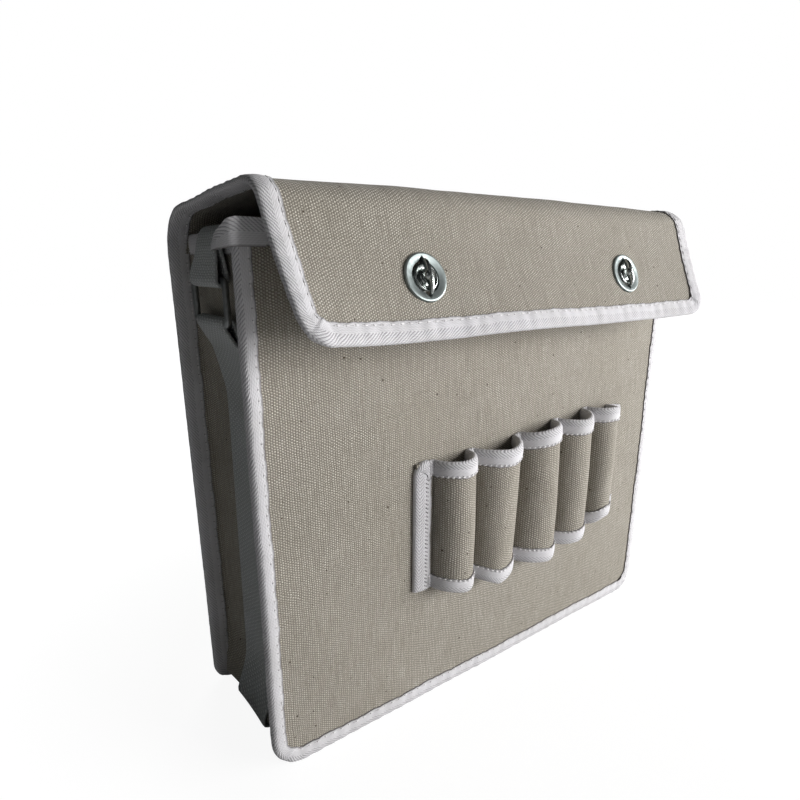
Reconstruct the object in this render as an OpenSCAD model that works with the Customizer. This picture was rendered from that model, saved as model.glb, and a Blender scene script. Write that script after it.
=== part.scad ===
// Jointed canvas tool bag: two flat bound panels, a boxed gusset, a long flap on two turn locks,
// a row of tool loops, and a webbing strap on wire rings.
// X runs across the bag, Y from front to back, Z up. The origin is under the middle of the bag.

/* [Bag body] */
// Width of the front and back panels over their edge tape
panel_w = 320; // [290:1:360]
// Height of the front panel over its tape
panel_h = 280; // [250:1:310]
// Depth of the bag from the front tape's face to the back tape's face
bag_depth = 96; // [84:1:120]
// Thickness of the canvas
canvas_t = 2; // [1.6:0.1:2.4]
// How far the gusset is set in from the panels' edges
seam_w = 11; // [10:0.5:12]
// Radius of the panels' lower corners
corner_r = 18; // [14:1:24]
// How far the gusset's top edge lies below the front panel's
gusset_dip = 10; // [8:0.5:14]

/* [Edge tape] */
// Thickness of the woven tape
tape_t = 0.8; // [0.6:0.1:1]
// Width of one leg of the tape on the seams
tape_leg = 10; // [8:0.5:10]
// Width of one leg of the wider tape along the mouth
mouth_leg = 12; // [10:0.5:14]
// Length of the mouth tape's tail, which is folded back over the gusset
tail_len = 22; // [14:1:26]

/* [Flap] */
// How much narrower the flap is than the panels, on each side
flap_inset = 7.5; // [5:0.5:10]
// Outer radius of the fold at the back
fold_r = 18; // [14:1:24]
// Height of the fold's start above the gusset's top edge
fold_above = 2; // [1.5:0.5:6]
// Slope of the flap's top, rising to the front, in degrees
flap_rise = 4; // [0:0.5:6]
// How far the front ridge stands ahead of the front panel
ridge_ahead = 5.5; // [2:0.5:8]
// Outer radius of the front ridge
ridge_r = 7; // [5:0.5:9]
// Length of the flap's front drop
drop_len = 72; // [60:1:84]
// Outward lean of the drop, in degrees
flap_lean = 22; // [16:0.5:26]
// Radius of the drop's lower corners
flap_corner_r = 14; // [12:0.5:20]

/* [Turn locks] */
// Distance of each lock from the middle of the bag
lock_x = 78.5; // [60:0.5:100]
// Distance of each lock's eyelet down the drop from the ridge
lock_down = 43; // [36:0.5:46]
// Outer diameter of the eyelet
eyelet_d = 24; // [22:0.5:28]
// Diameter of the eyelet's round hole
eyelet_hole_d = 15.5; // [14:0.5:16]
// Length of the eyelet's hole over its two notches
notch_len = 20.4; // [19.2:0.1:20.8]
// Length of the turn button's wing
wing_len = 17.4; // [16.6:0.1:17.8]
// Thickness of the wing
wing_t = 2.6; // [2:0.1:3]
// Height of the wing
wing_h = 5.5; // [4.5:0.5:7]
// Radius of the ball-shaped boss on the lock's post
boss_r = 7; // [6:0.5:7.5]
// Distance of the boss's middle behind the flap's face
boss_back = 8; // [8:0.5:10]
// Diameter of the post where it meets the base plate
post_d = 15; // [12:0.5:18]
// Diameter of the base plate
base_d = 24; // [20:0.5:26]
// Diameter of the button's shaft
shaft_d = 4; // [3:0.5:5]
// Running clearance round the shaft
shaft_clear = 0.08; // [0.05:0.01:0.1]

/* [Tool loops] */
// Distance of the strip's left end from the middle of the bag
strip_left = -71; // [-90:1:-60]
// Length of the strip's run of loops
loops_run = 164; // [140:1:180]
// Width of the flat tab at the strip's right end
strip_tab = 12; // [8:0.5:14]
// Height of the strip's lower edge
strip_low = 79; // [60:1:90]
// Height of the strip
strip_h = 79; // [60:1:90]
// How far the loops stand out from the panel
loop_rise = 15; // [10:0.5:15]
// Width of the flat seam between two loops
loop_seam = 3; // [2:0.5:4]
// Width of one leg of the tape on the strip's top and bottom edges
loop_tape_leg = 10.5; // [8:0.5:12]
// Width of the tape on the strip's left end
end_tape_leg = 11; // [9:0.5:12]

/* [Strap and rings] */
// Width of the webbing
strap_w = 38; // [34:1:42]
// Thickness of the webbing
strap_t = 1.8; // [1.4:0.1:2]
// Distance of the webbing's middle line from the bag's front
strap_mid = 52; // [46:0.5:54]
// Outer width of the wire ring
ring_w = 47; // [45:0.5:52]
// Outer height of the wire ring
ring_h = 24; // [22:0.5:26]
// Diameter of the ring's wire
wire_d = 3.2; // [2.5:0.1:3.6]
// How far the ring's lower bar lies below the front panel's top
ring_dip = 46; // [42:0.5:50]
// Distance of the strap slider from the middle of the bag
slider_x = 30; // [-60:1:80]
// Length of the slider along the webbing
slider_l = 28; // [26:0.5:32]

/* [Hidden] */
$fn = 64;
// Overrun of a cut past the face that it opens
cut = 1;
// Gap between layers that lie on each other
lay = 0.1;
// Gap between pieces that move past each other
run_gap = 0.35;
// Points on each arc of a sheet's profile
arc_steps = 8;
// Least radius of an inner corner
least_r = 1;
// Length of a stitched overlap at a strap's end
stitch_len = 24;

half_w = panel_w / 2;
seam_t = 2 * (canvas_t + tape_t);
gusset_half = half_w - seam_w;
gusset_top = panel_h - gusset_dip;

// The front drop reaches furthest forward, and the middle of the whole depth is the origin
drop_reach = ridge_ahead + drop_len * sin(flap_lean) + tape_t * cos(flap_lean);
back_y = (bag_depth + drop_reach) / 2;
front_y = back_y - bag_depth;
front_face = front_y + tape_t;
back_face = back_y - tape_t;
front_lining = front_face + canvas_t;
back_lining = back_face - canvas_t;
mouth_low = panel_h - mouth_leg;

flap_half = half_w - flap_inset;
fold_mid = [back_face - fold_r, gusset_top + fold_above];
top_normal = 90 - flap_rise;
drop_normal = 180 - flap_lean;
fold_end = fold_mid + fold_r * [cos(top_normal), sin(top_normal)];
ridge_y = front_y - ridge_ahead;
ridge_z = fold_end.y + (fold_end.x - ridge_y) * tan(flap_rise);
ridge_half_turn = (drop_normal - top_normal) / 2;
ridge_tangent = ridge_r * tan(ridge_half_turn);
ridge_mid = [ridge_y, ridge_z]
    + ridge_tangent * [sin(top_normal), -cos(top_normal)]
    - ridge_r * [cos(top_normal), sin(top_normal)];
// The flap is hinged in the middle of each fold, just outside the tape
fold_split = top_normal / 2;
ridge_split = (top_normal + drop_normal) / 2;
split_gap = run_gap / 2;
fold_axis = fold_mid + (fold_r + tape_t + split_gap) * [cos(fold_split), sin(fold_split)];
ridge_axis = ridge_mid + (ridge_r + tape_t + split_gap) * [cos(ridge_split), sin(ridge_split)];

// Turn locks face squarely out of the drop, and their posts stand on the front panel
eyelet_t = 1.4;
barrel_wall = 0.6;
eyelet_barrel_d = notch_len + 2 * barrel_wall;
washer_t = 0.8;
boss_mid = [ridge_y, ridge_z] - lock_down * [sin(flap_lean), cos(flap_lean)]
    + boss_back * [cos(flap_lean), -sin(flap_lean)];
post_tip_d = 10;
spigot_d = 6;
shaft_in = boss_r / 2;
base_t = 1.2;
neck_d = 6.4;
// Radius of the ball that crowns the wing, as a share of its length
crown_share = 0.56;

// Tool loops: each loop's share of the run, from left to right
loop_shares = [0.18, 0.235, 0.22, 0.19, 0.175];
loop_count = len(loop_shares);
loops_left = strip_left + end_tape_leg;
strip_right = loops_left + loops_run + strip_tab;
strip_top = strip_low + strip_h;
function share_before(i) = i == 0 ? 0 : share_before(i - 1) + loop_shares[i - 1];
function loop_start(i) = loops_left + loops_run * share_before(i);
function loop_chord(i) = loops_run * loop_shares[i] - loop_seam;
function loop_radius(i) = (pow(loop_chord(i) / 2, 2) + pow(loop_rise, 2)) / (2 * loop_rise);
function loop_centre(i) = [loop_start(i) + (loop_chord(i) + loop_seam) / 2, loop_radius(i) - loop_rise];

// Strap, rings and slider
strap_y = front_y + strap_mid - strap_w / 2;
wire_r = wire_d / 2;
eye_in = wire_r + run_gap;
eye_out = eye_in + strap_t;
bar_x = gusset_half + tape_t + run_gap + eye_out;
ring_z = panel_h - ring_dip;
ring_bar_h = ring_h - wire_d;
ring_corner_r = wire_d;
eye_throat = 2.5 * eye_out;
// Most of a strap end's run that its eye may take up
throat_share = 0.8;
strap_end_z = gusset_top - 2 * strap_t - run_gap;
hem_r = canvas_t / 2 + tape_t + 2 * lay;
gusset_mid = gusset_half - canvas_t / 2;
floor_z = seam_w + canvas_t;
slider_bar = 3.2;
slider_t = 2.2;
slider_side = 3;

canvas_colour = "#b4ad9c";
tape_colour = "#d2cdd2";
webbing_colour = "#c8c8c6";
nickel_colour = "#b9bcbc";

// Outline of a panel: straight sides, rounded lower corners, level top
module tray(half, low, high, r) {
    round = max(r, least_r);
    translate([-half, low + round]) square([2 * half, high - low - round]);
    translate([round - half, low]) square([2 * (half - round), 2 * round]);
    for (side = [-1, 1]) translate([side * (half - round), low + round]) circle(round);
}

// Stands an outline up facing the front, from y to y + t
module upright(y, t) {
    translate([0, y + t, 0]) rotate([90, 0, 0]) linear_extrude(t) children();
}

// Carries a side profile, drawn as depth and height, across the bag from x0 to x1
module across(x0, x1) {
    translate([x0, 0, 0]) rotate([90, 0, 90]) linear_extrude(x1 - x0) children();
}

function arc(mid, r, from, to) =
    [for (i = [0:arc_steps]) let (a = from + (to - from) * i / arc_steps) mid + r * [cos(a), sin(a)]];
function backwards(points) = [for (i = [len(points) - 1:-1:0]) points[i]];
function normal_of(a) = [cos(a), sin(a)];
function downhill(a) = [-sin(a), cos(a)];

// Side profiles of the folded sheet, thickened by grow on each face
module back_fold_profile(grow) {
    fold_to = fold_split - asin(split_gap / fold_r);
    polygon(concat(
        arc(fold_mid, fold_r + grow, 0, fold_to),
        backwards(arc(fold_mid, fold_r - canvas_t - grow, 0, fold_to))
    ));
}
module top_profile(grow) {
    fold_from = fold_split + asin(split_gap / fold_r);
    ridge_to = ridge_split - asin(split_gap / ridge_r);
    polygon(concat(
        arc(fold_mid, fold_r + grow, fold_from, top_normal),
        arc(ridge_mid, ridge_r + grow, top_normal, ridge_to),
        backwards(arc(ridge_mid, ridge_r - canvas_t - grow, top_normal, ridge_to)),
        backwards(arc(fold_mid, fold_r - canvas_t - grow, fold_from, top_normal))
    ));
}
// The drop's profile runs on past its lower edge, and over lengthens its upper end for a cut
module drop_profile(grow, over) {
    ridge_from = ridge_split + asin(split_gap / ridge_r);
    end = (drop_len + cut) * downhill(drop_normal);
    outer = ridge_r + grow;
    inner = ridge_r - canvas_t - grow;
    start = over > 0 ? [normal_of(ridge_from - asin(over / ridge_r))] : [];
    polygon(concat(
        [for (n = start) ridge_mid + outer * n],
        arc(ridge_mid, outer, ridge_from, drop_normal),
        [ridge_mid + outer * normal_of(drop_normal) + end, ridge_mid + inner * normal_of(drop_normal) + end],
        backwards(arc(ridge_mid, inner, ridge_from, drop_normal)),
        [for (n = start) ridge_mid + inner * n]
    ));
}

// The drop's own plane: local Y runs up it, local Z out of its face
module on_drop() {
    translate([0, ridge_y, ridge_z]) rotate([90 - flap_lean, 0, 0]) children();
}

// A lock's own place on the drop, with Z out of the face through the lock's middle
module on_lock(side) {
    on_drop() translate([side * lock_x, -lock_down, 0]) children();
}

// A lock's own place on the front panel, with Z forward
module on_plate(side) {
    translate([side * lock_x, front_face, boss_mid.y]) rotate([90, 0, 0]) children();
}

// Tape folded over the edge of a panel's seam, as a channel round three sides
module seam_binding(y, top) {
    difference() {
        upright(y, seam_t) difference() {
            tray(half_w, 0, top, corner_r);
            tray(half_w - tape_leg, tape_leg, top + cut, corner_r - tape_leg);
        }
        upright(y + tape_t, seam_t - 2 * tape_t)
            tray(half_w - tape_t, tape_t, top + cut, corner_r - tape_t);
    }
}

module front_panel() {
    color(canvas_colour) difference() {
        upright(front_face, canvas_t) tray(half_w - tape_t, tape_t, panel_h - tape_t, corner_r - tape_t);
        for (side = [-1, 1]) on_plate(side)
            translate([0, 0, -canvas_t - cut]) cylinder(h = canvas_t + 2 * cut, d = spigot_d + lay);
    }
}

module back_panel() {
    color(canvas_colour) union() {
        upright(back_lining, canvas_t) tray(half_w - tape_t, tape_t, fold_mid.y, corner_r - tape_t);
        across(tape_t - flap_half, flap_half - tape_t) back_fold_profile(0);
    }
}

module gusset() {
    color(canvas_colour) difference() {
        union() {
            upright(front_lining, back_lining - front_lining)
                tray(gusset_half, seam_w, gusset_top, corner_r - seam_w);
            for (y = [front_lining, back_lining - canvas_t]) upright(y, canvas_t)
                tray(half_w - tape_t, tape_t, mouth_low, corner_r - tape_t);
        }
        upright(front_lining - cut, back_lining - front_lining + 2 * cut)
            tray(gusset_half - canvas_t, floor_z, gusset_top + cut, corner_r - seam_w - canvas_t);
        upright(front_lining - cut, cut + tape_t + canvas_t)
            translate([-half_w, mouth_low]) square([panel_w, mouth_leg]);
    }
}

module front_binding() {
    color(tape_colour) seam_binding(front_y, mouth_low);
}

module back_binding() {
    color(tape_colour) union() {
        seam_binding(back_y - seam_t, fold_mid.y);
        for (side = [-1, 1]) sheet_edge(side) back_fold_profile($grow);
    }
}

// Tape along a side edge of the folded sheet: the children draw the profile for $grow
module sheet_edge(side) {
    x0 = side < 0 ? -flap_half : flap_half - tape_leg;
    bare = side < 0 ? tape_t : -tape_t;
    difference() {
        across(x0, x0 + tape_leg) { $grow = tape_t; children(); }
        across(x0 + bare - (side > 0 ? cut : 0), x0 + tape_leg + bare + (side < 0 ? cut : 0)) {
            $grow = 0;
            children();
        }
    }
}

module mouth_tape() {
    thick = canvas_t + 2 * tape_t;
    color(tape_colour) difference() {
        union() {
            upright(front_y, thick) translate([-half_w, mouth_low]) square([panel_w, mouth_leg]);
            for (flip = [0, 1]) mirror([flip, 0, 0]) mouth_tail(front_y + thick);
        }
        upright(front_face, canvas_t)
            translate([tape_t - half_w, mouth_low - cut])
                square([panel_w - 2 * tape_t, mouth_leg + cut - tape_t]);
    }
}

// The doubled end of the mouth tape, led back from the corner to lie along the gusset's edge
module mouth_tail(y0) {
    ply = 2 * tape_t;
    end_x = -gusset_half - tape_t - ply - lay;
    translate([0, 0, mouth_low]) linear_extrude(mouth_leg) polygon([
        [-half_w, y0], [end_x, front_y + tail_len], [end_x + ply, front_y + tail_len],
        [ply - half_w, y0], [ply - half_w, y0 - tape_t], [-half_w, y0 - tape_t]
    ]);
}

module gusset_top_tape(side) {
    y0 = front_lining + canvas_t + tape_t + lay;
    y1 = back_lining - canvas_t - tape_t - lay;
    x0 = side * gusset_mid - canvas_t / 2;
    color(tape_colour) difference() {
        translate([x0 - tape_t, y0, gusset_top - tape_leg])
            cube([canvas_t + 2 * tape_t, y1 - y0, tape_leg + tape_t]);
        translate([x0, y0 - cut, gusset_top - tape_leg - cut])
            cube([canvas_t, y1 - y0 + 2 * cut, tape_leg + cut]);
    }
}
module gusset_top_tape_left() { gusset_top_tape(-1); }
module gusset_top_tape_right() { gusset_top_tape(1); }

// Plan of the scalloped strip, thickened by grow on each face: Y is zero on the panel's face
module loops_plan(x0, x1, grow) {
    intersection() {
        translate([x0, -2 * loop_rise]) square([x1 - x0, 2 * loop_rise]);
        difference() {
            union() {
                translate([strip_left - cut, -canvas_t - grow])
                    square([strip_right - strip_left + 2 * cut, canvas_t + grow + cut]);
                for (i = [0:loop_count - 1]) translate(loop_centre(i)) circle(loop_radius(i) + grow);
            }
            for (i = [0:loop_count - 1]) translate(loop_centre(i)) circle(loop_radius(i) - canvas_t - grow);
        }
    }
}
module along_strip(low, high) {
    translate([0, front_face, low]) linear_extrude(high - low) children();
}

module tool_loop_strip() {
    color(canvas_colour) along_strip(strip_low + tape_t, strip_top - tape_t)
        loops_plan(strip_left + tape_t, strip_right, 0);
}

// Tape folded over one long edge of the strip, following every loop
module loop_edge_tape(low, high, edge_low, edge_high) {
    color(tape_colour) difference() {
        along_strip(low, high) loops_plan(loops_left, strip_right, tape_t);
        along_strip(edge_low, edge_high) loops_plan(loops_left - cut, strip_right + cut, 0);
    }
}
module loop_top_tape() {
    loop_edge_tape(strip_top - loop_tape_leg, strip_top, strip_low, strip_top - tape_t);
}
module loop_bottom_tape() {
    loop_edge_tape(strip_low, strip_low + loop_tape_leg, strip_low + tape_t, strip_top);
}
module loop_end_tape() {
    color(tape_colour) difference() {
        translate([strip_left, front_face - canvas_t - tape_t, strip_low])
            cube([end_tape_leg - lay, canvas_t + tape_t, strip_h]);
        translate([strip_left + tape_t, front_face - canvas_t, strip_low + tape_t])
            cube([end_tape_leg, canvas_t + cut, strip_h - 2 * tape_t]);
    }
}

// Angle at which a line from p touches a circle round zero, on the side given
function touch_angle(p, r, side) = atan2(p.y, p.x) + side * acos(r / norm(p));
function eye_arc(left, right, r) =
    arc([0, 0], r, touch_angle(left, r, 1), 360 + touch_angle(right, r, -1));

// Webbing turned round a bar: drawn from the bar's middle, with the two layers leading off along
// local Y and lying together against the local Y axis's line x = inner
module eye_profile(inner, run) {
    throat = min(eye_throat, throat_share * run);
    left = [inner, throat];
    middle = [inner + strap_t, throat];
    right = [inner + 2 * strap_t, throat];
    difference() {
        polygon(concat([[inner, run], left], eye_arc(left, right, eye_out), [right, [right.x, run]]));
        polygon(concat(eye_arc(middle, middle, eye_in), [middle]));
    }
}

// Carries a profile drawn as width and height along the webbing's width, mirrored to either side
module strap_side(side) {
    translate([0, strap_y + strap_w, 0]) rotate([90, 0, 0]) linear_extrude(strap_w)
        mirror([side < 0 ? 1 : 0, 0]) children();
}

module load_strap() {
    color(webbing_colour) union() {
        upright(strap_y, strap_w) difference() {
            tray(gusset_half + lay + strap_t, seam_w - lay - strap_t, ring_z - eye_throat,
                corner_r - seam_w + strap_t);
            tray(gusset_half + lay, seam_w - lay, ring_z, corner_r - seam_w);
        }
        for (side = [-1, 1]) strap_side(side) translate([bar_x, ring_z])
            mirror([0, 1]) eye_profile(gusset_half + lay - bar_x, eye_throat + stitch_len);
    }
}

module strap_ring(side) {
    run = ring_w - wire_d - 2 * ring_corner_r;
    rise = ring_bar_h - 2 * ring_corner_r;
    color(nickel_colour) translate([side * bar_x, front_y + strap_mid, ring_z + ring_bar_h / 2])
        for (turn = [0, 180]) rotate([turn, 0, 0]) {
            translate([0, -run / 2, ring_bar_h / 2]) rotate([-90, 0, 0]) cylinder(h = run, r = wire_r);
            translate([0, (ring_w - wire_d) / 2, -rise / 2]) cylinder(h = rise, r = wire_r);
            for (flip = [0, 1]) mirror([0, flip, 0])
                translate([0, run / 2, rise / 2]) rotate([90, 0, 90])
                    rotate_extrude(angle = 90) translate([ring_corner_r, 0]) circle(wire_r);
        }
}
module strap_ring_left() { strap_ring(-1); }
module strap_ring_right() { strap_ring(1); }

module strap_end(side) {
    color(webbing_colour) strap_side(side) translate([bar_x, ring_z + ring_bar_h])
        eye_profile(-eye_out, strap_end_z - ring_z - ring_bar_h);
}
module strap_end_left() { strap_end(-1); }
module strap_end_right() { strap_end(1); }

// Webbing over the gusset's top edge, from outside to inside
module hem_turn(side, t) {
    low = strap_end_z + 2 * run_gap;
    strap_side(side) translate([gusset_mid, gusset_top]) {
        difference() {
            circle(hem_r + t);
            circle(hem_r);
            translate([-2 * hem_r - t, -2 * (hem_r + t)]) square([4 * hem_r + 2 * t, 2 * (hem_r + t)]);
        }
        translate([hem_r, low - gusset_top]) square([t, gusset_top - low]);
    }
}

module shoulder_strap() {
    leg_half = gusset_mid - hem_r;
    hump = strap_t + slider_t + 2 * lay;
    base = floor_z + lay;
    color(webbing_colour) union() {
        upright(strap_y, strap_w) difference() {
            tray(leg_half, base, gusset_top, corner_r);
            tray(leg_half - strap_t, base + strap_t, gusset_top + cut, corner_r - strap_t);
            translate([slider_x - slider_l, 0]) square([2 * slider_l, base + strap_t + cut]);
        }
        upright(strap_y, strap_w) intersection() {
            difference() {
                tray(leg_half, base, gusset_top, corner_r);
                tray(leg_half - 2 * strap_t, base + 2 * strap_t, gusset_top + cut, corner_r - 2 * strap_t);
            }
            translate([-half_w, 0]) square([half_w + slider_x - slider_l, panel_h]);
        }
        upright(strap_y, strap_w) slider_hump(base, hump);
        hem_turn(-1, 2 * strap_t);
        hem_turn(1, strap_t);
    }
}

// The webbing's path under the slider's end bars and over its middle bar
module slider_hump(base, hump) {
    crest = slider_bar / 2 + lay;
    foot = slider_l / 2 - slider_bar;
    xs = [-slider_l, -foot, -crest, crest, foot, slider_l];
    zs = [0, 0, hump, hump, 0, 0];
    last = len(xs) - 1;
    translate([slider_x, base]) polygon(concat(
        [for (i = [0:last]) [xs[i], zs[i]]],
        [for (i = [last:-1:0]) [xs[i] + (zs[i] == 0 ? 0 : sign(xs[i]) * lay), zs[i] + strap_t]]
    ));
}

module strap_slider() {
    side_l = strap_w + 2 * (slider_side + run_gap);
    slot = (slider_l - 3 * slider_bar) / 2;
    z = floor_z + strap_t + 2 * lay;
    color(nickel_colour) translate([slider_x - slider_l / 2, front_y + strap_mid - side_l / 2, z])
        difference() {
            cube([slider_l, side_l, slider_t]);
            for (i = [0, 1]) translate([slider_bar + i * (slot + slider_bar), slider_side, -cut])
                cube([slot, side_l - 2 * slider_side, slider_t + 2 * cut]);
        }
}

module lock_base(side) {
    color(nickel_colour) difference() {
        union() {
            on_plate(side) {
                cylinder(h = base_t, d = base_d);
                translate([0, 0, -canvas_t - base_t]) cylinder(h = canvas_t + 2 * base_t, d = spigot_d);
                cylinder(h = front_face - boss_mid.x, d1 = post_d, d2 = post_tip_d);
            }
            translate([side * lock_x, boss_mid.x, boss_mid.y]) sphere(boss_r);
        }
        on_lock(side) translate([0, 0, -boss_back - shaft_in - run_gap])
            cylinder(h = 2 * boss_back, d = shaft_d + 2 * shaft_clear);
    }
}
module lock_base_left() { lock_base(-1); }
module lock_base_right() { lock_base(1); }

module lock_backing(side) {
    color(nickel_colour) on_plate(side) translate([0, 0, -canvas_t - base_t]) difference() {
        cylinder(h = base_t, d = base_d);
        translate([0, 0, -cut]) cylinder(h = base_t + 2 * cut, d = spigot_d + lay);
    }
}
module lock_backing_left() { lock_backing(-1); }
module lock_backing_right() { lock_backing(1); }

module turn_button(side) {
    foot = eyelet_t + run_gap;
    color(nickel_colour) on_lock(side) {
        translate([0, 0, boss_r + run_gap - boss_back])
            cylinder(h = boss_back - boss_r + eyelet_t, d = neck_d);
        translate([0, 0, -boss_back - shaft_in]) cylinder(h = boss_back + shaft_in, d = shaft_d);
        translate([0, 0, foot]) intersection() {
            translate([-wing_t / 2, -wing_len / 2, 0]) cube([wing_t, wing_len, wing_h]);
            cylinder(h = wing_h, d = wing_len);
            translate([0, 0, -wing_t / 2]) sphere(crown_share * wing_len);
        }
    }
}
module turn_button_left() { turn_button(-1); }
module turn_button_right() { turn_button(1); }

module flap_top() {
    color(canvas_colour) across(tape_t - flap_half, flap_half - tape_t) top_profile(0);
}
module flap_top_binding() {
    color(tape_colour) for (side = [-1, 1]) sheet_edge(side) top_profile($grow);
}

// A block with the drop's outline, drawn in by inset, which cuts the drop's pieces from their profile
module drop_outline(inset) {
    on_drop() translate([0, 0, -2 * ridge_r]) linear_extrude(4 * ridge_r)
        tray(flap_half - inset, inset - drop_len, 2 * ridge_r, flap_corner_r - inset);
}

module flap_drop() {
    color(canvas_colour) difference() {
        intersection() {
            across(-half_w, half_w) drop_profile(0, 0);
            drop_outline(tape_t);
        }
        for (side = [-1, 1]) on_lock(side)
            translate([0, 0, -canvas_t - cut])
                cylinder(h = canvas_t + 2 * cut, d = eyelet_barrel_d + 2 * lay);
    }
}

module flap_drop_binding() {
    color(tape_colour) difference() {
        intersection() {
            across(-half_w, half_w) drop_profile(tape_t, 0);
            drop_outline(0);
        }
        intersection() {
            across(-half_w, half_w) drop_profile(0, cut);
            drop_outline(tape_t);
        }
        drop_outline(tape_leg);
    }
}

// The eyelet's opening: a round hole with a pointed notch above and below
module keyhole(h) {
    notch_w = wing_t + 2 * run_gap;
    translate([0, 0, -cut]) linear_extrude(h + 2 * cut) union() {
        circle(d = eyelet_hole_d);
        polygon([
            [-notch_w / 2, 0], [-notch_w / 2, notch_w / 2 - notch_len / 2], [0, -notch_len / 2],
            [notch_w / 2, notch_w / 2 - notch_len / 2], [notch_w / 2, 0],
            [notch_w / 2, notch_len / 2 - notch_w / 2], [0, notch_len / 2],
            [-notch_w / 2, notch_len / 2 - notch_w / 2]
        ]);
    }
}

// A dished ring with a rolled rim, on a barrel that is clinched behind the flap
module lock_eyelet(side) {
    rim = eyelet_d / 2;
    edge = eyelet_t / 2;
    shoulder = eyelet_t - edge / 4;
    color(nickel_colour) on_lock(side) difference() {
        union() {
            rotate_extrude() polygon([
                [0, 0], [rim, 0], [rim, edge / 2], [rim - edge / 2, shoulder],
                [rim - 3 * edge / 2, eyelet_t], [rim - 3 * edge, shoulder], [eyelet_hole_d / 2, edge],
                [0, edge]
            ]);
            translate([0, 0, -canvas_t - washer_t]) cylinder(h = canvas_t + washer_t, d = eyelet_barrel_d);
        }
        translate([0, 0, -canvas_t - washer_t]) keyhole(canvas_t + washer_t + eyelet_t);
    }
}
module lock_eyelet_left() { lock_eyelet(-1); }
module lock_eyelet_right() { lock_eyelet(1); }

module eyelet_washer(side) {
    color(nickel_colour) on_lock(side) translate([0, 0, -canvas_t - washer_t]) difference() {
        cylinder(h = washer_t, d = eyelet_d);
        translate([0, 0, -cut]) cylinder(h = washer_t + 2 * cut, d = eyelet_barrel_d + lay);
    }
}
module eyelet_washer_left() { eyelet_washer(-1); }
module eyelet_washer_right() { eyelet_washer(1); }

front_panel();
back_panel();
gusset();
front_binding();
back_binding();
mouth_tape();
gusset_top_tape_left();
gusset_top_tape_right();
tool_loop_strip();
loop_top_tape();
loop_bottom_tape();
loop_end_tape();
load_strap();
shoulder_strap();
strap_slider();
strap_ring_left();
strap_ring_right();
strap_end_left();
strap_end_right();
lock_base_left();
lock_base_right();
lock_backing_left();
lock_backing_right();
turn_button_left();
turn_button_right();
flap_top();
flap_top_binding();
flap_drop();
flap_drop_binding();
lock_eyelet_left();
lock_eyelet_right();
eyelet_washer_left();
eyelet_washer_right();
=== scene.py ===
import math
from functools import partial

import bmesh
import bpy
import numpy as np
from mathutils import Matrix, Vector


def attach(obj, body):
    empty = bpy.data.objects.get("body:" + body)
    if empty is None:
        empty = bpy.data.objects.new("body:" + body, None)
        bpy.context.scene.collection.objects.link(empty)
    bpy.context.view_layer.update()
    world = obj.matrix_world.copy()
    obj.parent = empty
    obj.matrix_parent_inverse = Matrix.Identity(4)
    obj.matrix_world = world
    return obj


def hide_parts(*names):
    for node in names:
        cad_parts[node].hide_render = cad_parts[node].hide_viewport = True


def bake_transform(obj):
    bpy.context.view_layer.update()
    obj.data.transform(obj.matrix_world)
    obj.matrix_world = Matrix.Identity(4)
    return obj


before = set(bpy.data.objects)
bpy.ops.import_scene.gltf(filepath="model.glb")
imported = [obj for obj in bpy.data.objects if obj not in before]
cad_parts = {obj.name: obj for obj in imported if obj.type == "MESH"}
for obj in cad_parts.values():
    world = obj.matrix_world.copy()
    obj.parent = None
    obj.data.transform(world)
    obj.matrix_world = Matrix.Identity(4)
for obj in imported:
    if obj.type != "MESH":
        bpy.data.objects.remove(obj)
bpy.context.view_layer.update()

# Camera
# Close to the bag's left front corner and just below its top, looking down along its front.
# The lens, its shift and the camera's place are those that put the bag where the photo has it.
photo_side = 800
focal_pixels = 585.748
centre_x, centre_y = 410.47, 434.70
sensor_width = 36
camera_place = (-0.25209, -0.27275, 0.26293)
camera_yaw, camera_pitch = 0.6447, 0.2869
camera_data = bpy.data.cameras.new("camera")
camera_data.sensor_width = sensor_width
camera_data.lens = focal_pixels * sensor_width / photo_side
camera_data.shift_x = (photo_side / 2 - centre_x) / photo_side
camera_data.shift_y = (centre_y - photo_side / 2) / photo_side
camera = bpy.data.objects.new("camera", camera_data)
bpy.context.collection.objects.link(camera)
ahead = Vector((math.sin(camera_yaw) * math.cos(camera_pitch),
                math.cos(camera_yaw) * math.cos(camera_pitch), -math.sin(camera_pitch)))
rightward = Vector((math.cos(camera_yaw), -math.sin(camera_yaw), 0))
camera.matrix_world = (Matrix.Translation(camera_place)
                       @ Matrix((rightward, rightward.cross(ahead), -ahead)).transposed().to_4x4())
bpy.context.scene.camera = camera

# Front panel
# One flat piece of stiff natural duck, square at the mouth and round at its lower corners.
# It is held straight by its bound edges, and swells a little between them.
# Sizes are in millimetres, and each sheet of cloth is a surface over its own flat pattern.
panel_half = 159.2
panel_top = 279.2
panel_low = 0.8
panel_corner = 17.2
front_mid_y = -29.593
canvas_t = 2.0
panel_swell, mouth_swell = 4.2, 1.6
panel_grid_step = 2.6
lock_x, lock_z = 78.5, 253
held_flat_r = 24
gathers_in, gathers_up = 10, 11
normal_step = 0.8
mm = 0.001
sides = ((-1, "left"), (1, "right"))


def swell(a, b, pitch, seed):
    """A soft unevenness between -1 and 1, the same on every run."""
    s = np.sin(a / pitch * 2.1 + seed) * np.cos(b / pitch * 1.7 - 1.3 * seed)
    s = s + 0.6 * np.sin(a / pitch * 0.9 - b / pitch * 1.3 + 2.1 * seed)
    s = s + 0.4 * np.cos(a / pitch * 3.7 + b / pitch * 2.9 + 0.7 * seed)
    return s / 2


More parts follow.
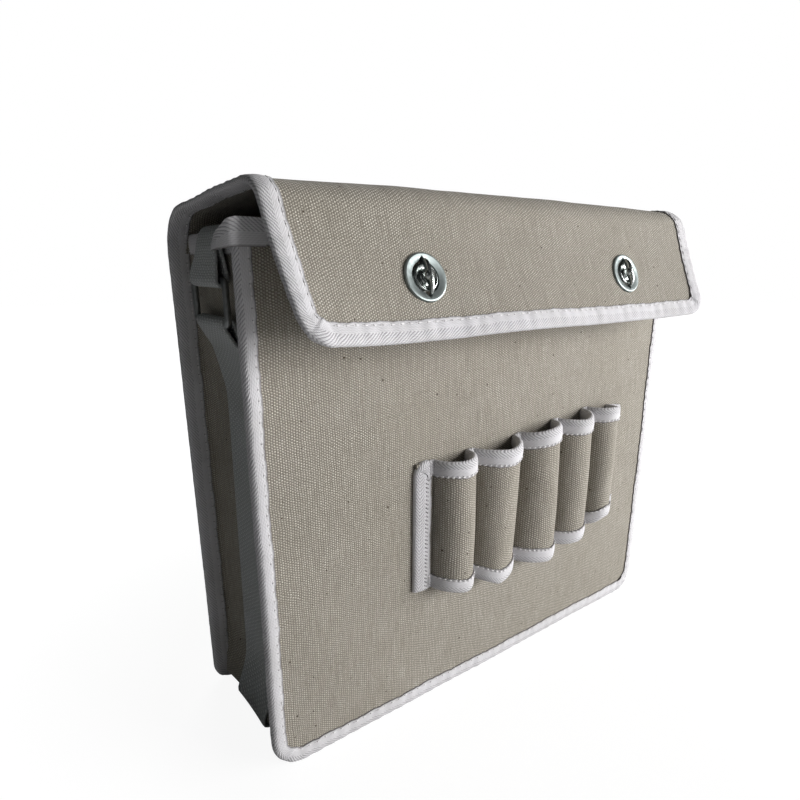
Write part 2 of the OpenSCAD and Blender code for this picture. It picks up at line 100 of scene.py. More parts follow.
def pucker(distance, along, pitch, depth):
    """The gathers that a row of stitches draws up beside it."""
    fade = np.exp(-np.clip(distance, 0, None) / 7.0)
    slower = np.sin(along * 2 * math.pi / (pitch * 1.7) + 1)
    return depth * fade * (np.sin(along * 2 * math.pi / pitch) + 0.5 * slower)


def front_out(a, b):
    """How far the panel swells, which is nothing where the locks' plates hold it flat."""
    x = np.clip(np.abs(a) / panel_half, 0, 1)
    z = np.clip((b - panel_low) / (panel_top - panel_low), 0, 1)
    out = panel_swell * (1 - x ** 2) * np.sin(math.pi * z ** 1.1) ** 0.8 + mouth_swell * (1 - x ** 4) * z ** 6
    out = out + 0.6 * swell(a, b, 38, 1.0) + 0.1 * swell(a, b, 13, 4.0)
    from_lock = ((np.abs(a) - lock_x) / held_flat_r) ** 2 + ((b - lock_z) / held_flat_r) ** 2
    return out * (1 - np.exp(-from_lock ** 2))


def front_sheet(a, b):
    """The panel's middle surface, across and up its flat pattern."""
    gathers = pucker(panel_half - gathers_in - np.abs(a), b, 8.5, 0.16)
    gathers = gathers + pucker(b - gathers_up, a, 8.0, 0.16)
    return np.stack([a, front_mid_y - front_out(a, b) - gathers, b], axis=-1)


def skin(place, a, b, lift=0.0):
    """Points lifted off a sheet's middle along its outward normal, and that normal."""
    # A sheet whose pattern is seen from outside as in a mirror has -1 for its facing.
    a, b = np.broadcast_arrays(np.asarray(a, float), np.asarray(b, float))
    across = place(a + normal_step, b) - place(a - normal_step, b)
    along = place(a, b + normal_step) - place(a, b - normal_step)
    normal = np.cross(across, along) * getattr(place, "facing", 1)
    normal /= np.linalg.norm(normal, axis=-1, keepdims=True)
    lift = np.broadcast_to(np.asarray(lift, float), a.shape)
    return place(a, b) + lift[..., None] * normal, normal


def mesh_of(name, points, faces, pattern, material):
    """A mesh from points in millimetres, with the flat pattern kept as its UV map in metres."""
    mesh = bpy.data.meshes.new(name)
    mesh.from_pydata((points * mm).tolist(), [], faces)
    layer = mesh.uv_layers.new(name="pattern")
    corners = np.empty(len(mesh.loops), dtype=np.int32)
    mesh.loops.foreach_get("vertex_index", corners)
    layer.data.foreach_set("uv", (pattern[corners] * mm).astype(np.float32).ravel())
    work = bmesh.new()
    work.from_mesh(mesh)
    bmesh.ops.recalc_face_normals(work, faces=work.faces)
    work.to_mesh(mesh)
    work.free()
    mesh.shade_smooth()
    mesh.set_sharp_from_angle(angle=math.radians(55))
    mesh.materials.append(material)
    piece = bpy.data.objects.new(name, mesh)
    bpy.context.collection.objects.link(piece)
    return piece


def lay_sheet(name, place, a, b, thick, material):
    """A sheet of cloth with two faces and closed edges, over a grid of its flat pattern."""
    outer, _ = skin(place, a, b, thick / 2)
    inner, _ = skin(place, a, b, -np.asarray(thick) / 2)
    rows, columns = a.shape
    number = np.arange(rows * columns).reshape(rows, columns)
    quads = np.stack([number[:-1, :-1], number[:-1, 1:], number[1:, 1:], number[1:, :-1]], axis=-1)
    quads = quads.reshape(-1, 4)
    rim = np.concatenate([number[0, :-1], number[:-1, -1], number[-1, :0:-1], number[:0:-1, 0]])
    after = np.roll(rim, -1)
    below = rows * columns
    faces = quads.tolist() + (quads[:, ::-1] + below).tolist()
    faces += np.stack([rim, rim + below, after + below, after], axis=-1).tolist()
    points = np.concatenate([outer.reshape(-1, 3), inner.reshape(-1, 3)])
    pattern = np.stack([np.tile(a.ravel(), 2), np.tile(b.ravel(), 2)], axis=-1)
    return mesh_of(name, points, faces, pattern, material)


def panel_grid(rows, half, corner, deep, across):
    """A grid over a panel, narrower where its corners are round, at each row's depth into them."""
    wide = half - corner + np.sqrt(corner ** 2 - deep ** 2)
    return wide[:, None] * across[None, :], np.repeat(rows[:, None], len(across), axis=1)


def feed(tree, node, inputs):
    """Sets a node's inputs, each to a value, to another node's socket or to a node's first output."""
    for place, value in inputs.items():
        if isinstance(value, bpy.types.Node):
            value = value.outputs[0]
        if isinstance(value, bpy.types.NodeSocket):
            tree.links.new(value, node.inputs[place])
        else:
            node.inputs[place].default_value = value


def add(tree, kind, inputs=None, **settings):
    """A new node, with its settings and then its inputs."""
    node = tree.nodes.new(kind)
    for label, value in settings.items():
        setattr(node, label, value)
    feed(tree, node, inputs or {})
    return node


def calculated(tree, kind, *values):
    """A Math node on values, nodes or sockets."""
    return add(tree, "ShaderNodeMath", dict(enumerate(values)), operation=kind)


def node_group(name, kind, given, made):
    """A node group with named inputs, each with its type or its first value, and named outputs."""
    tree = bpy.data.node_groups.new(name, kind)
    for label, value in given.items():
        typed = {float: "Float", int: "Int"}.get(type(value), value)
        socket = tree.interface.new_socket(label, in_out="INPUT", socket_type=f"NodeSocket{typed}")
        if typed != value:
            socket.default_value = value
    for label, typed in made.items():
        tree.interface.new_socket(label, in_out="OUTPUT", socket_type=f"NodeSocket{typed}")
    return tree, tree.nodes.new("NodeGroupInput").outputs, tree.nodes.new("NodeGroupOutput")


def weave_group():
    """A plain weave of thick, unevenly spun yarns, with dark specks of seed husk, and a Shade that materials
    use as painted shade.
    """
    tree, given, made = node_group(
        "plain weave", "ShaderNodeTree",
        {"Pattern": "Vector", "Warp pitch": 0.00125, "Weft pitch": 0.00066, "Weft height": 0.3,
         "Diagonal": 0.12, "Speck size": 0.05, "Seed": 0.0},
        {"Height": "Float", "Shade": "Float", "Tone": "Float", "Speck": "Float"})
    calc = partial(calculated, tree)
    split = add(tree, "ShaderNodeSeparateXYZ", {0: given["Pattern"]}).outputs
    drift = add(tree, "ShaderNodeTexNoise", {"Vector": given["Pattern"], "Scale": 90})
    wander = calc("MULTIPLY", calc("SUBTRACT", drift, 0.5), 0.0017)
    turns = [calc("MULTIPLY", calc("DIVIDE", calc("ADD", split[i], wander), given[pitch]), math.pi)
             for i, pitch in enumerate(("Warp pitch", "Weft pitch"))]
    waves = [calc("SINE", turn) for turn in turns]
    warp, weft = [calc("ABSOLUTE", wave) for wave in waves]
    over = calc("GREATER_THAN", calc("MULTIPLY", *waves), 0.0)
    under = calc("SUBTRACT", 1.0, over)
    warp_top = calc("MULTIPLY", warp, calc("MULTIPLY_ADD", weft, 0.45, 0.55))
    weft_top = calc("MULTIPLY", weft, calc("MULTIPLY_ADD", warp, 0.45, 0.55))
    weft_top = calc("MULTIPLY", weft_top, given["Weft height"])
    height = calc("ADD", calc("MULTIPLY", warp_top, over), calc("MULTIPLY", weft_top, under))
    # Shade is lower in the gaps between the yarns' tops, which is painted shade, and along one diagonal,
    # which is partly the yarns' twist and partly painted shade.
    slant = calc("MULTIPLY_ADD", calc("COSINE", calc("ADD", *turns)), -0.5, 0.5)
    beads = calc("MULTIPLY", calc("POWER", height, 0.6), calc("SUBTRACT", 1.0, given["Diagonal"]))
    tones = []
    for stretch in ((60, 1000, 1), (1000, 60, 1)):
        yarns = add(tree, "ShaderNodeVectorMath", {0: given["Pattern"], 1: stretch}, operation="MULTIPLY")
        tones.append(add(tree, "ShaderNodeTexNoise", {"Vector": yarns, "Scale": 0.9, "Detail": 1.0}))
    place = add(tree, "ShaderNodeVectorMath", {0: given["Pattern"], 1: given["Seed"]}, operation="ADD")
    cells = add(tree, "ShaderNodeTexVoronoi", {"Vector": place, "Scale": 85}, voronoi_dimensions="2D")
    pick = add(tree, "ShaderNodeSeparateXYZ", {0: cells.outputs["Color"]}).outputs
    small = calc("LESS_THAN", cells.outputs["Distance"], calc("MULTIPLY", given["Speck size"], pick[1]))
    feed(tree, made, {
        "Height": height,
        "Shade": calc("MULTIPLY_ADD", slant, given["Diagonal"], beads),
        "Tone": calc("ADD", calc("MULTIPLY", tones[1], over), calc("MULTIPLY", tones[0], under)),
        "Speck": calc("MULTIPLY", small, calc("GREATER_THAN", pick[0], 0.66))})
    return tree


def ranged(tree, value, low, high, to_low=0, to_high=1):
    """A value stretched from one range to another, and held at its ends."""
    return add(tree, "ShaderNodeMapRange", {"Value": value, "From Min": low, "From Max": high,
                                            "To Min": to_low, "To Max": to_high})


def cloth_tone_group():
    """What all cloth here shares: faint patches, and the fuzz of its fibres."""
    tree, given, made = node_group("cloth tone", "ShaderNodeTree", {"Patch size": 22.0, "Strength": 1.0},
                                   {"Patch": "Float", "Fuzz": "Float"})
    where = add(tree, "ShaderNodeTexCoord").outputs["Object"]
    patch = add(tree, "ShaderNodeTexNoise", {"Vector": where, "Scale": given["Patch size"], "Detail": 4})
    feed(tree, made, {
        "Patch": calculated(tree, "MULTIPLY", ranged(tree, patch, 0.3, 0.7), given["Strength"]),
        "Fuzz": add(tree, "ShaderNodeTexNoise", {"Vector": where, "Scale": 1500, "Detail": 2})})
    return tree


weave = weave_group()
cloth_tone = cloth_tone_group()


def srgb(red, green, blue):
    """A colour read in 0 to 255 steps, as the linear one that a shader takes."""
    steps = [c / 255 for c in (red, green, blue)]
    return tuple(c / 12.92 if c <= 0.04045 else ((c + 0.055) / 1.055) ** 2.4 for c in steps) + (1.0,)


def mix_colour(tree, kind, factor, first, second):
    """Two colours mixed, each a node's or a plain one in 0 to 255 steps."""
    first, second = [srgb(*each) if isinstance(each, tuple) else each for each in (first, second)]
    return add(tree, "ShaderNodeMix", {0: factor, 6: first, 7: second}, data_type="RGBA",
               blend_type=kind).outputs[2]


def new_material(name):
    """A material and its tree of nodes."""
    material = bpy.data.materials.new(name)
    material.use_nodes = True
    return material, material.node_tree


def effect(tree, group, inputs):
    """A node group's outputs in a material. A woven one lies over the piece's flat pattern."""
    if "Pattern" in group.interface.items_tree:
        inputs = {"Pattern": add(tree, "ShaderNodeUVMap", uv_map="pattern"), **inputs}
    return add(tree, "ShaderNodeGroup", inputs, node_tree=group).outputs


def surface(tree, inputs, height, strength, distance):
    """Sets the shader's own inputs, with a height for its bump."""
    bump = add(tree, "ShaderNodeBump", {"Height": height, "Strength": strength, "Distance": distance})
    feed(tree, tree.nodes["Principled BSDF"], {**inputs, "Normal": bump})


def canvas_material(name, seed):
    """Undyed duck. The seed moves its specks."""
    material, tree = new_material(name)
    cloth = effect(tree, weave, {"Seed": seed})
    tone = effect(tree, cloth_tone, {"Strength": 0.6})
    yarn = mix_colour(tree, "MIX", ranged(tree, cloth["Tone"], 0.3, 0.7), (176, 170, 160), (208, 203, 193))
    yarn = mix_colour(tree, "MULTIPLY", tone["Patch"], yarn, (234, 233, 228))
    yarn = mix_colour(tree, "MULTIPLY", ranged(tree, tone["Fuzz"], 0.62, 0.4), yarn, (222, 220, 216))
    # Painted shade: the colour darkens to this brown in the gaps between yarns and along one diagonal.
    yarn = mix_colour(tree, "MIX", ranged(tree, cloth["Shade"], 0.2, 0.78), (106, 100, 90), yarn)
    yarn = mix_colour(tree, "MIX", cloth["Speck"], yarn, (72, 62, 50))
    surface(tree, {"Base Color": yarn, "Roughness": ranged(tree, tone["Fuzz"], 0.3, 0.7, 0.86, 0.97),
                   "Specular IOR Level": 0.25, "Sheen Weight": 0.08, "Sheen Roughness": 0.6},
            calculated(tree, "MULTIPLY_ADD", tone["Fuzz"], 0.25, cloth["Height"]), 0.8, 0.0004)
    return material


panel_canvas = canvas_material("panel canvas", 0.11)
corner_share = 1 - np.cos(np.linspace(0, math.pi / 2, 12))
rows = np.linspace(panel_low + panel_corner, panel_top, int((panel_top - panel_low) / panel_grid_step))
rows = np.unique(np.concatenate([panel_low + panel_corner * corner_share, rows]))
deep = np.clip(panel_low + panel_corner - rows, 0, panel_corner)
grid_a, grid_b = panel_grid(rows, panel_half, panel_corner, deep,
                            np.linspace(-1, 1, int(2 * panel_half / panel_grid_step)))
front_panel = lay_sheet("front_panel_cloth", front_sheet, grid_a, grid_b, canvas_t, panel_canvas)
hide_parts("front_panel")
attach(front_panel, "bag")

# Gusset
# One strip of the same duck makes both sides and the bottom. Its edges are turned outward
# into the two seams, and its walls draw in a little between them.
gusset_half = 148.0
gusset_top = 276.0
gusset_floor = 12.0
gusset_corner = 4.0
wall_draw = 11.0
draw_starts, draw_full, draw_eases, draw_ends = 28, 84, 242, 268
bottom_hang = 8.8
corner_fill, middle_fill = 6.0, 2.2
front_flange_y = -27.6
back_flange_y = 60.8
flange = 10.0
flange_short = 9.5


def distances(line):
    """How far along a line each of its points is."""
    return np.concatenate([[0], np.cumsum(np.linalg.norm(np.diff(line, axis=0), axis=1))])


def points_on(line, run, places):
    """Points at places along a line, given how far along it its own points are."""
    return np.stack([np.interp(places, run, line[:, i]) for i in (0, 1)], axis=-1)


def evened(line, step):
    """The line with its points evenly apart, and its length."""
    run = distances(line)
    return points_on(line, run, np.linspace(0, run[-1], int(run[-1] / step) + 1)), run[-1]


def rounded(points, radii, step=0.25):
    """A dense line through the points, with each inner corner rounded to its radius, and its length."""
    points = [np.array(p, float) for p in points]
    line = [points[0]]
    for before, corner, after, radius in zip(points, points[1:], points[2:], radii):
        into, out = before - corner, after - corner
        into, out = into / np.linalg.norm(into), out / np.linalg.norm(out)
        half = math.acos(np.clip(into @ out, -1, 1)) / 2
        reach = radius / math.tan(half)
        middle = corner + (into + out) / np.linalg.norm(into + out) * radius / math.sin(half)
        first, last = corner + into * reach - middle, corner + out * reach - middle
        turn = math.pi - 2 * half
        for t in np.linspace(0, 1, max(3, int(turn * radius / step))):
            between = math.sin((1 - t) * turn) * first + math.sin(t * turn) * last
            line.append(middle + between / math.sin(turn))
    line.append(points[-1])
    return evened(np.array(line), step)


def follow(line, length):
    """Turns a distance along a dense line into a place on it, and runs straight on past its ends."""
    marks = np.linspace(0, length, len(line))

    def at(s):
        inside = np.clip(s, 0, length)
        place = points_on(line, marks, inside)
        head = (line[0] - line[4]) / np.linalg.norm(line[0] - line[4])
        tail = (line[-1] - line[-5]) / np.linalg.norm(line[-1] - line[-5])
        place = place + np.clip(-s, 0, None)[..., None] * head
        return place + np.clip(s - length, 0, None)[..., None] * tail
    return at


wall_line, wall_length = rounded([(-gusset_half, gusset_top), (-gusset_half, gusset_floor),
                                  (gusset_half, gusset_floor), (gusset_half, gusset_top)],
                                 [gusset_corner] * 2)
wall_at = follow(wall_line, wall_length)
fold_line, fold_length = rounded([(flange, front_flange_y), (0, front_flange_y), (0, back_flange_y),
                                  (flange, back_flange_y)], [2.2, 2.2])
fold_at = follow(fold_line, fold_length)


def eased(value, start, end):
    """0 before start, 1 past end, and a smooth step between them."""
    t = np.clip((value - start) / (end - start), 0, 1)
    return t * t * (3 - 2 * t)


def depth_share(y):
    """How far a place lies from the front seam towards the back one, as a share."""
    return np.clip((y - front_flange_y) / (back_flange_y - front_flange_y), 0, 1)


def drawn_in(y, below):
    """How far a side wall draws in, at a depth in the bag and a distance below its top edge."""
    tall = eased(below, draw_starts, draw_full) * (1 - 0.0018 * np.clip(below - draw_full, 0, None))
    tall = tall * eased(below, draw_ends, draw_eases)
    return wall_draw * np.sin(math.pi * depth_share(y)) ** 0.7 * tall


def hung(x, y, z):
    """How far the bottom and its corners hang out and down between the two seams."""
    middle = np.sin(math.pi * depth_share(y)) ** 0.5
    fill = corner_fill - (corner_fill - middle_fill) * middle
    out = np.sign(x) * fill * eased(z, 40, 12) * eased(np.abs(x), 100, 140)
    return out, bottom_hang * (0.85 + 0.15 * middle) * eased(z, 45, 16)


def outward_of(at, s):
    """The unit normal on the right of a line, at distances along it."""
    run = at(s + normal_step) - at(s - normal_step)
    run /= np.linalg.norm(run, axis=-1, keepdims=True)
    return np.stack([run[..., 1], -run[..., 0]], axis=-1)


def gusset_sheet(a, b):
    """The gusset's middle surface, from the front seam to the back one and down, under and up."""
    side = fold_at(a)
    path = wall_at(b)
    below = np.minimum(b, wall_length - b)
    drawn = np.where(below < draw_ends - 1, drawn_in(side[..., 1], below), 0)
    drawn = drawn + 0.2 * swell(side[..., 1], b, 24, 2.0) * np.sin(math.pi * depth_share(side[..., 1]))
    reach = side[..., 0] - drawn
    flat = path + reach[..., None] * outward_of(wall_at, b)
    out, down = hung(flat[..., 0], side[..., 1], flat[..., 1])
    free = 1 - np.clip(side[..., 0] / flange, 0, 1)
    return np.stack([flat[..., 0] + out * free, side[..., 1], flat[..., 1] - down * free], axis=-1)


gusset_sheet.facing = -1
# The grid is finer at the folds and at the lower corners.
columns = np.unique(np.concatenate([np.linspace(0, 15, 14), np.linspace(15, fold_length - 15, 26),
                                    np.linspace(fold_length - 15, fold_length, 14)]))
rows = np.unique(np.concatenate([np.arange(0, 251, 3.0), np.linspace(250, 275, 22),
                                 np.arange(275, wall_length - 275, 3.5),
                                 np.linspace(wall_length - 275, wall_length - 250, 22),
                                 np.linspace(wall_length - 250, wall_length, 84)]))
grid_a, grid_b = np.meshgrid(columns, rows)
# The turned edges stop short of the gusset's top.
low_lip = flange_short * np.clip((9 - np.minimum(grid_a, fold_length - grid_a)) / 3, 0, 1)
grid_b = np.clip(grid_b, low_lip, wall_length - low_lip)
gusset_canvas = canvas_material("gusset canvas", 0.37)
gusset = lay_sheet("gusset_cloth", gusset_sheet, grid_a, grid_b, canvas_t, gusset_canvas)
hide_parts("gusset")
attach(gusset, "bag")

# Back and flap
# Back and flap are one long sheet. It stands up the back, rolls over at the top, runs forward
# above the mouth and drops in front, where it leans away from the bag and flares at its corners.
back_mid_y = 62.807
back_corner = 10.5
fold_r = 13.0
ridge_r = 15.0
flap_half = 151.7
top_slope = math.radians(4)
lean = math.radians(22)
drop_length = 71.0
left_flare, right_flare = 9.0, 5.0
flare_drop = 67.0
flare_from, flare_width = 96, 56
front_crown = 2.4
crown_x, crown_half = -15, 50
back_swell, back_top = 2.0, 272
lock_down = 43.0
eyelet_bore_r = 10.9
eyelet_down, eyelet_flat_r = 38, 16
punch_depth = 20
fold_corner_z = 290.6 - (back_mid_y - 46.987) * math.tan(top_slope)
ridge_face = np.array([-36.893, 295.827])
ridge_slack = math.tan(math.radians(36))
ridge_corner = ridge_face + np.array([ridge_slack * math.cos(top_slope) - math.sin(top_slope),
                                      -math.cos(top_slope) - ridge_slack * math.sin(top_slope)])
down_drop = np.array([-math.sin(lean), -math.cos(lean)])
side_line, side_length = rounded([(back_mid_y, panel_low), (back_mid_y, fold_corner_z), ridge_corner,
                                  ridge_corner + drop_length * down_drop], [fold_r, ridge_r])
side_at = follow(side_line, side_length)
ridge_b = side_length - drop_length + 3.5
top_mid_b = ridge_b - 45.0
top_from, top_run = 300, ridge_b - 306


def half_at(b):
    """Half the sheet's width: the flap is cut a little narrower than the back."""
    return panel_half - (panel_half - flap_half) * eased(b, 264, 318)


def flap_sheet(a, b):
    """The middle surface of back and flap, across them and from the bottom seam to the flap's edge."""
    # The flap's lower corners flare, and its edge stands out in the middle.
    down = np.clip((b - ridge_b) / flare_drop, 0, 1.1)
    left = np.clip((-a - flare_from) / flare_width, 0, 1.1)
    right = np.clip((a - flare_from) / flare_width, 0, 1.1)
    lift = left_flare * down ** 1.2 * left ** 1.6 + right_flare * down ** 1.2 * right ** 1.5
    lift = lift + front_crown * np.clip(1 - ((a - crown_x) / crown_half) ** 2, 0, 1) * down ** 3
    # The back, the top and the ridge swell.
    back = np.clip(b / back_top, 0, 1)
    wide = np.clip(1 - (a / panel_half) ** 2, 0, 1)
    lift = lift + np.where(b < back_top, back_swell * wide * np.sin(math.pi * back), 0)
    over = np.clip((b - top_from) / top_run, 0, 1)
    lift = lift + (1.6 - 0.6 * wide) * np.sin(math.pi * over) ** 0.8
    lift = lift + (0.4 + 2.0 * wide) * np.exp(-((b - ridge_b + 6) / 20) ** 2)
    # The cloth is uneven except where the eyelets hold it flat, and gathered beside its seams.
    from_eyelet = ((np.abs(a) - lock_x) / eyelet_flat_r) ** 2
    from_eyelet = from_eyelet + ((b - ridge_b - eyelet_down) / eyelet_flat_r) ** 2
    calm = 1 - np.exp(-from_eyelet)
    lift = lift + calm * (0.35 * swell(a, b, 34, 3.0) + 0.12 * swell(a, b, 12, 5.0))
    lift = lift + pucker(half_at(b) - gathers_in - np.abs(a), b, 8.0, 0.14)
    lift = lift + pucker(side_length - gathers_up - b, a, 8.5, 0.14)
    flat = side_at(b) + lift[..., None] * outward_of(side_at, b)
    flared = np.clip(a / flap_half, 0, 1) ** 4 * np.exp(-((b - ridge_b + 4) / 40) ** 2)
    across = 3.0 * left ** 2 * down ** 2 + 8.0 * flared
    return np.stack([a + across, flat[..., 0], flat[..., 1]], axis=-1)


flap_sheet.facing = -1
flap_canvas = canvas_material("flap canvas", 0.71)
across = np.linspace(-1, 1, 118)
rows = np.unique(np.concatenate([back_corner * corner_share, np.linspace(back_corner, 262, 94),
                                 np.linspace(262, 305, 44), np.linspace(305, top_mid_b, 14)]))
deep = np.clip(back_corner - rows, 0, back_corner)
grid_a, grid_b = panel_grid(rows, half_at(rows), back_corner, deep, across)
back_sheet = lay_sheet("back_cloth", flap_sheet, grid_a, grid_b, canvas_t, flap_canvas)
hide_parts("back_panel", "flap_top")
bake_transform(back_sheet)

flap_corner = 13.2
rows = np.unique(np.concatenate([np.linspace(top_mid_b, ridge_b - 16, 14),
                                 np.linspace(ridge_b - 16, ridge_b + 12, 26),
                                 np.linspace(ridge_b + 12, side_length - flap_corner, 26),
                                 side_length - flap_corner * (1 - np.sin(np.linspace(0, math.pi / 2, 12)))]))
deep = np.clip(rows - (side_length - flap_corner), 0, flap_corner)
grid_a, grid_b = panel_grid(rows, half_at(rows), flap_corner, deep, across)
flap_front = lay_sheet("flap_cloth", flap_sheet, grid_a, grid_b, canvas_t, flap_canvas)


def settled(piece):
    """Makes what the piece's modifiers show its own mesh."""
    graph = bpy.context.evaluated_depsgraph_get()
    mesh = bpy.data.meshes.new_from_object(piece.evaluated_get(graph))
    piece.modifiers.clear()
    piece.data = mesh


lock_on_flap = ridge_face + lock_down * down_drop
for side in (-1, 1):
    hole = bpy.data.meshes.new("hole")
    work = bmesh.new()
    bmesh.ops.create_cone(work, cap_ends=True, segments=48, radius1=eyelet_bore_r * mm,
                          radius2=eyelet_bore_r * mm, depth=punch_depth * mm)
    work.to_mesh(hole)
    work.free()
    punch = bpy.data.objects.new("punch", hole)
    bpy.context.collection.objects.link(punch)
    punch.matrix_world = (Matrix.Translation((side * lock_x * mm, *(lock_on_flap * mm)))
                          @ Matrix.Rotation(math.radians(90) - lean, 4, "X"))
    cut = flap_front.modifiers.new("punch", "BOOLEAN")
    cut.operation = "DIFFERENCE"
    cut.solver = "EXACT"
    cut.object = punch
    settled(flap_front)
    bpy.data.objects.remove(punch)
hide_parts("flap_drop")
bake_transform(flap_front)

# Seam and edge tape
# White herringbone cotton tape, folded over every raw edge and sewn through with one row of
# thread. It closes the front and back seams and runs on round the flap.
tape_t = 0.8
mitre_fold = 0.65
fold_middle, fold_reach = 1.2, 1.75


def herringbone_group():
    """Slanting ribs that turn back at each band, worn on the outer band, and painted shade along the tape's
    edges.
    """
    tree, given, made = node_group("herringbone", "ShaderNodeTree",
                                   {"Pattern": "Vector", "Rib": 0.002, "Band": 0.0052, "Slant": 1.4},
                                   {"Height": "Float", "Edge": "Float"})
    calc = partial(calculated, tree)
    along, across = add(tree, "ShaderNodeSeparateXYZ", {0: given["Pattern"]}).outputs[:2]
    zigzag = calc("PINGPONG", across, given["Band"])
    slanted = calc("ADD", along, calc("MULTIPLY", zigzag, given["Slant"]))
    turn = calc("MULTIPLY", calc("DIVIDE", slanted, given["Rib"]), math.pi)
    rubbed = calc("MULTIPLY", calc("LESS_THAN", across, given["Band"]), 0.8)
    rib = calc("MULTIPLY", calc("ABSOLUTE", calc("SINE", turn)), calc("SUBTRACT", 1.0, rubbed))
    rib = calc("MULTIPLY_ADD", rubbed, 0.8, rib)
    fine = calc("ABSOLUTE", calc("SINE", calc("MULTIPLY", across, math.pi / 0.00075)))
    feed(tree, made, {
        "Height": calc("ADD", calc("MULTIPLY", rib, 0.75), calc("MULTIPLY", fine, 0.25)),
        "Edge": calc("SUBTRACT", 1.0, calc("MINIMUM", calc("DIVIDE", across, 0.0008), 1.0))})
    return tree


herringbone = herringbone_group()


def tape_material(name, slant):
    """White cotton tape, whose ribs slant one way or the other, with painted shade in the grooves between
    them.
    """
    material, tree = new_material(name)
    ribs = effect(tree, herringbone, {"Slant": slant})
    tone = effect(tree, cloth_tone, {"Patch size": 45, "Strength": 0.6})
    # Painted shade: the colour darkens in the grooves between the ribs.
    colour = mix_colour(tree, "MIX", ranged(tree, ribs["Height"], 0.15, 0.8), (150, 148, 152),
                        (205, 203, 206))
    colour = mix_colour(tree, "MULTIPLY", tone["Patch"], colour, (238, 238, 234))
    # Painted shade: the tape darkens towards its edges, as a seam's shadow line.
    colour = mix_colour(tree, "MULTIPLY", ribs["Edge"], colour, (150, 147, 145))
    surface(tree, {"Base Color": colour, "Roughness": ranged(tree, tone["Fuzz"], 0.3, 0.7, 0.8, 0.93),
                   "Specular IOR Level": 0.3, "Sheen Weight": 0.1, "Sheen Roughness": 0.5},
            calculated(tree, "MULTIPLY_ADD", tone["Fuzz"], 0.2, ribs["Height"]), 0.7, 0.0004)
    return material


tape_cloth = tape_material("herringbone tape", 1.4)
turned_tape_cloth = tape_material("herringbone tape, turned", -1.4)


def inward_of(path):
    """The unit normal on the left of a path, at each of its points."""
    way = np.gradient(path, axis=0)
    way /= np.linalg.norm(way, axis=1, keepdims=True)
    return np.stack([-way[:, 1], way[:, 0]], axis=-1)


def inset(path, distance):
    """The path moved in from the edge that it follows."""
    return path + distance * inward_of(path)


def tube_faces(rings, around, first=0):
    """The points' numbers in a row of closed rings, and the faces between the rings."""
    number = first + np.arange(rings * around).reshape(rings, around)
    after = np.roll(number, -1, axis=1)
    quads = np.stack([number[:-1], after[:-1], after[1:], number[1:]], axis=-1)
    return number, quads.reshape(-1, 4).tolist()


def bind(name, place, path, legs, half, centre, material, puff=0.25):
    """Tape folded over a sheet's edge and mitred where the edge turns, with the sheet on its left."""
    run = distances(path)
    inward = inward_of(path)
    slanted = np.abs(inward[:, 0] * inward[:, 1])
    peaks = (slanted >= np.roll(slanted, 1)) & (slanted > np.roll(slanted, -1))
    mitred = np.where((slanted > 0.3) & peaks)[0]
    # At a mitre the tape thickens slowly up to the corner and drops off right after it.
    fold = np.zeros_like(run)
    for corner in mitred:
        past = run - run[corner]
        fold += mitre_fold * np.where(past < 0, np.exp(-(past / 9) ** 2), np.exp(-(past / 0.6) ** 2))
    half = np.broadcast_to(half, run.shape)[:, None] + fold[:, None]
    centre = np.broadcast_to(centre, run.shape)[:, None]

    def waves(*parts):
        """An unevenness along the tape, as waves each with its height, length and start."""
        total = sum(height * np.sin(run / length * 2 * math.pi + start) for height, length, start in parts)
        return total[:, None]

    wave = waves((0.12, 5.1, 0), (0.16, 14.1, 1), (0.2, 37.0, 2))
    full = puff * (0.8 + waves((0.35, 11.7, 0.5)))
    outer, inner = [np.broadcast_to(each, run.shape)[:, None] for each in legs]
    # Marks are shares of a leg. The rise there is a share of the puff, or a dip where it is below 0.
    marks = np.array([1.0, 0.94, 0.87, 0.78, 0.6, 0.4, 0.2])
    rise = np.array([-0.12, -0.05, -0.18, 0.25, 1.0, 1.0, 0.45])
    bend = np.linspace(math.pi / 2, -math.pi / 2, 7)[1:-1]
    height = half + tape_t / 2
    # The tape's middle line, from one leg's end round the fold to the other's: e is how far in from
    # the sheet's edge it is, and h how far off the sheet.
    e = [outer * m + wave * m ** 4 for m in marks]
    h = [height + np.where(r < 0, r, r * full) for r in rise]
    e += [np.full_like(height, fold_middle - fold_reach * math.cos(t)) for t in bend]
    h += [height * math.sin(t) for t in bend]
    e += [inner * m + wave * m ** 4 for m in marks[::-1]]
    h += [-height - np.where(r < 0, r, r * full) for r in rise[::-1]]
    e = np.concatenate([np.broadcast_to(x, height.shape) for x in e], axis=1)
    h = np.concatenate(h, axis=1)
    along_e, along_h = np.gradient(e, axis=1), np.gradient(h, axis=1)
    size = np.hypot(along_e, along_h)
    off_e, off_h = -along_h / size * tape_t / 2, along_e / size * tape_t / 2
    loops, patterns = [], []
    across_run = np.cumsum(np.hypot(np.diff(e, axis=1), np.diff(h, axis=1)), axis=1)
    across_run = np.concatenate([np.zeros((len(run), 1)), across_run], axis=1)
    across_run = np.minimum(across_run, across_run[:, -1:] - across_run)
    for sign in (1, -1):
        se, sh = e + sign * off_e, h + sign * off_h + centre
        q = path[:, None, :] + se[..., None] * inward[:, None, :]
        points, _ = skin(place, q[..., 0], q[..., 1], sh)
        loops.append(points if sign == 1 else points[:, ::-1])
        patterns.append(across_run if sign == 1 else across_run[:, ::-1])
    ring = np.concatenate(loops, axis=1)
    v = np.concatenate(patterns, axis=1)
    number, faces = tube_faces(*v.shape)
    last = e.shape[1] - 1
    for end in number[[0, -1]].tolist():
        faces += [[end[k], end[k + 1], end[-2 - k], end[-1 - k]] for k in range(last)]
    pattern = np.stack([np.repeat(run[:, None], v.shape[1], axis=1).ravel(), v.ravel()], axis=-1)
    piece = mesh_of(name, ring.reshape(-1, 3), faces, pattern, material)
    return piece


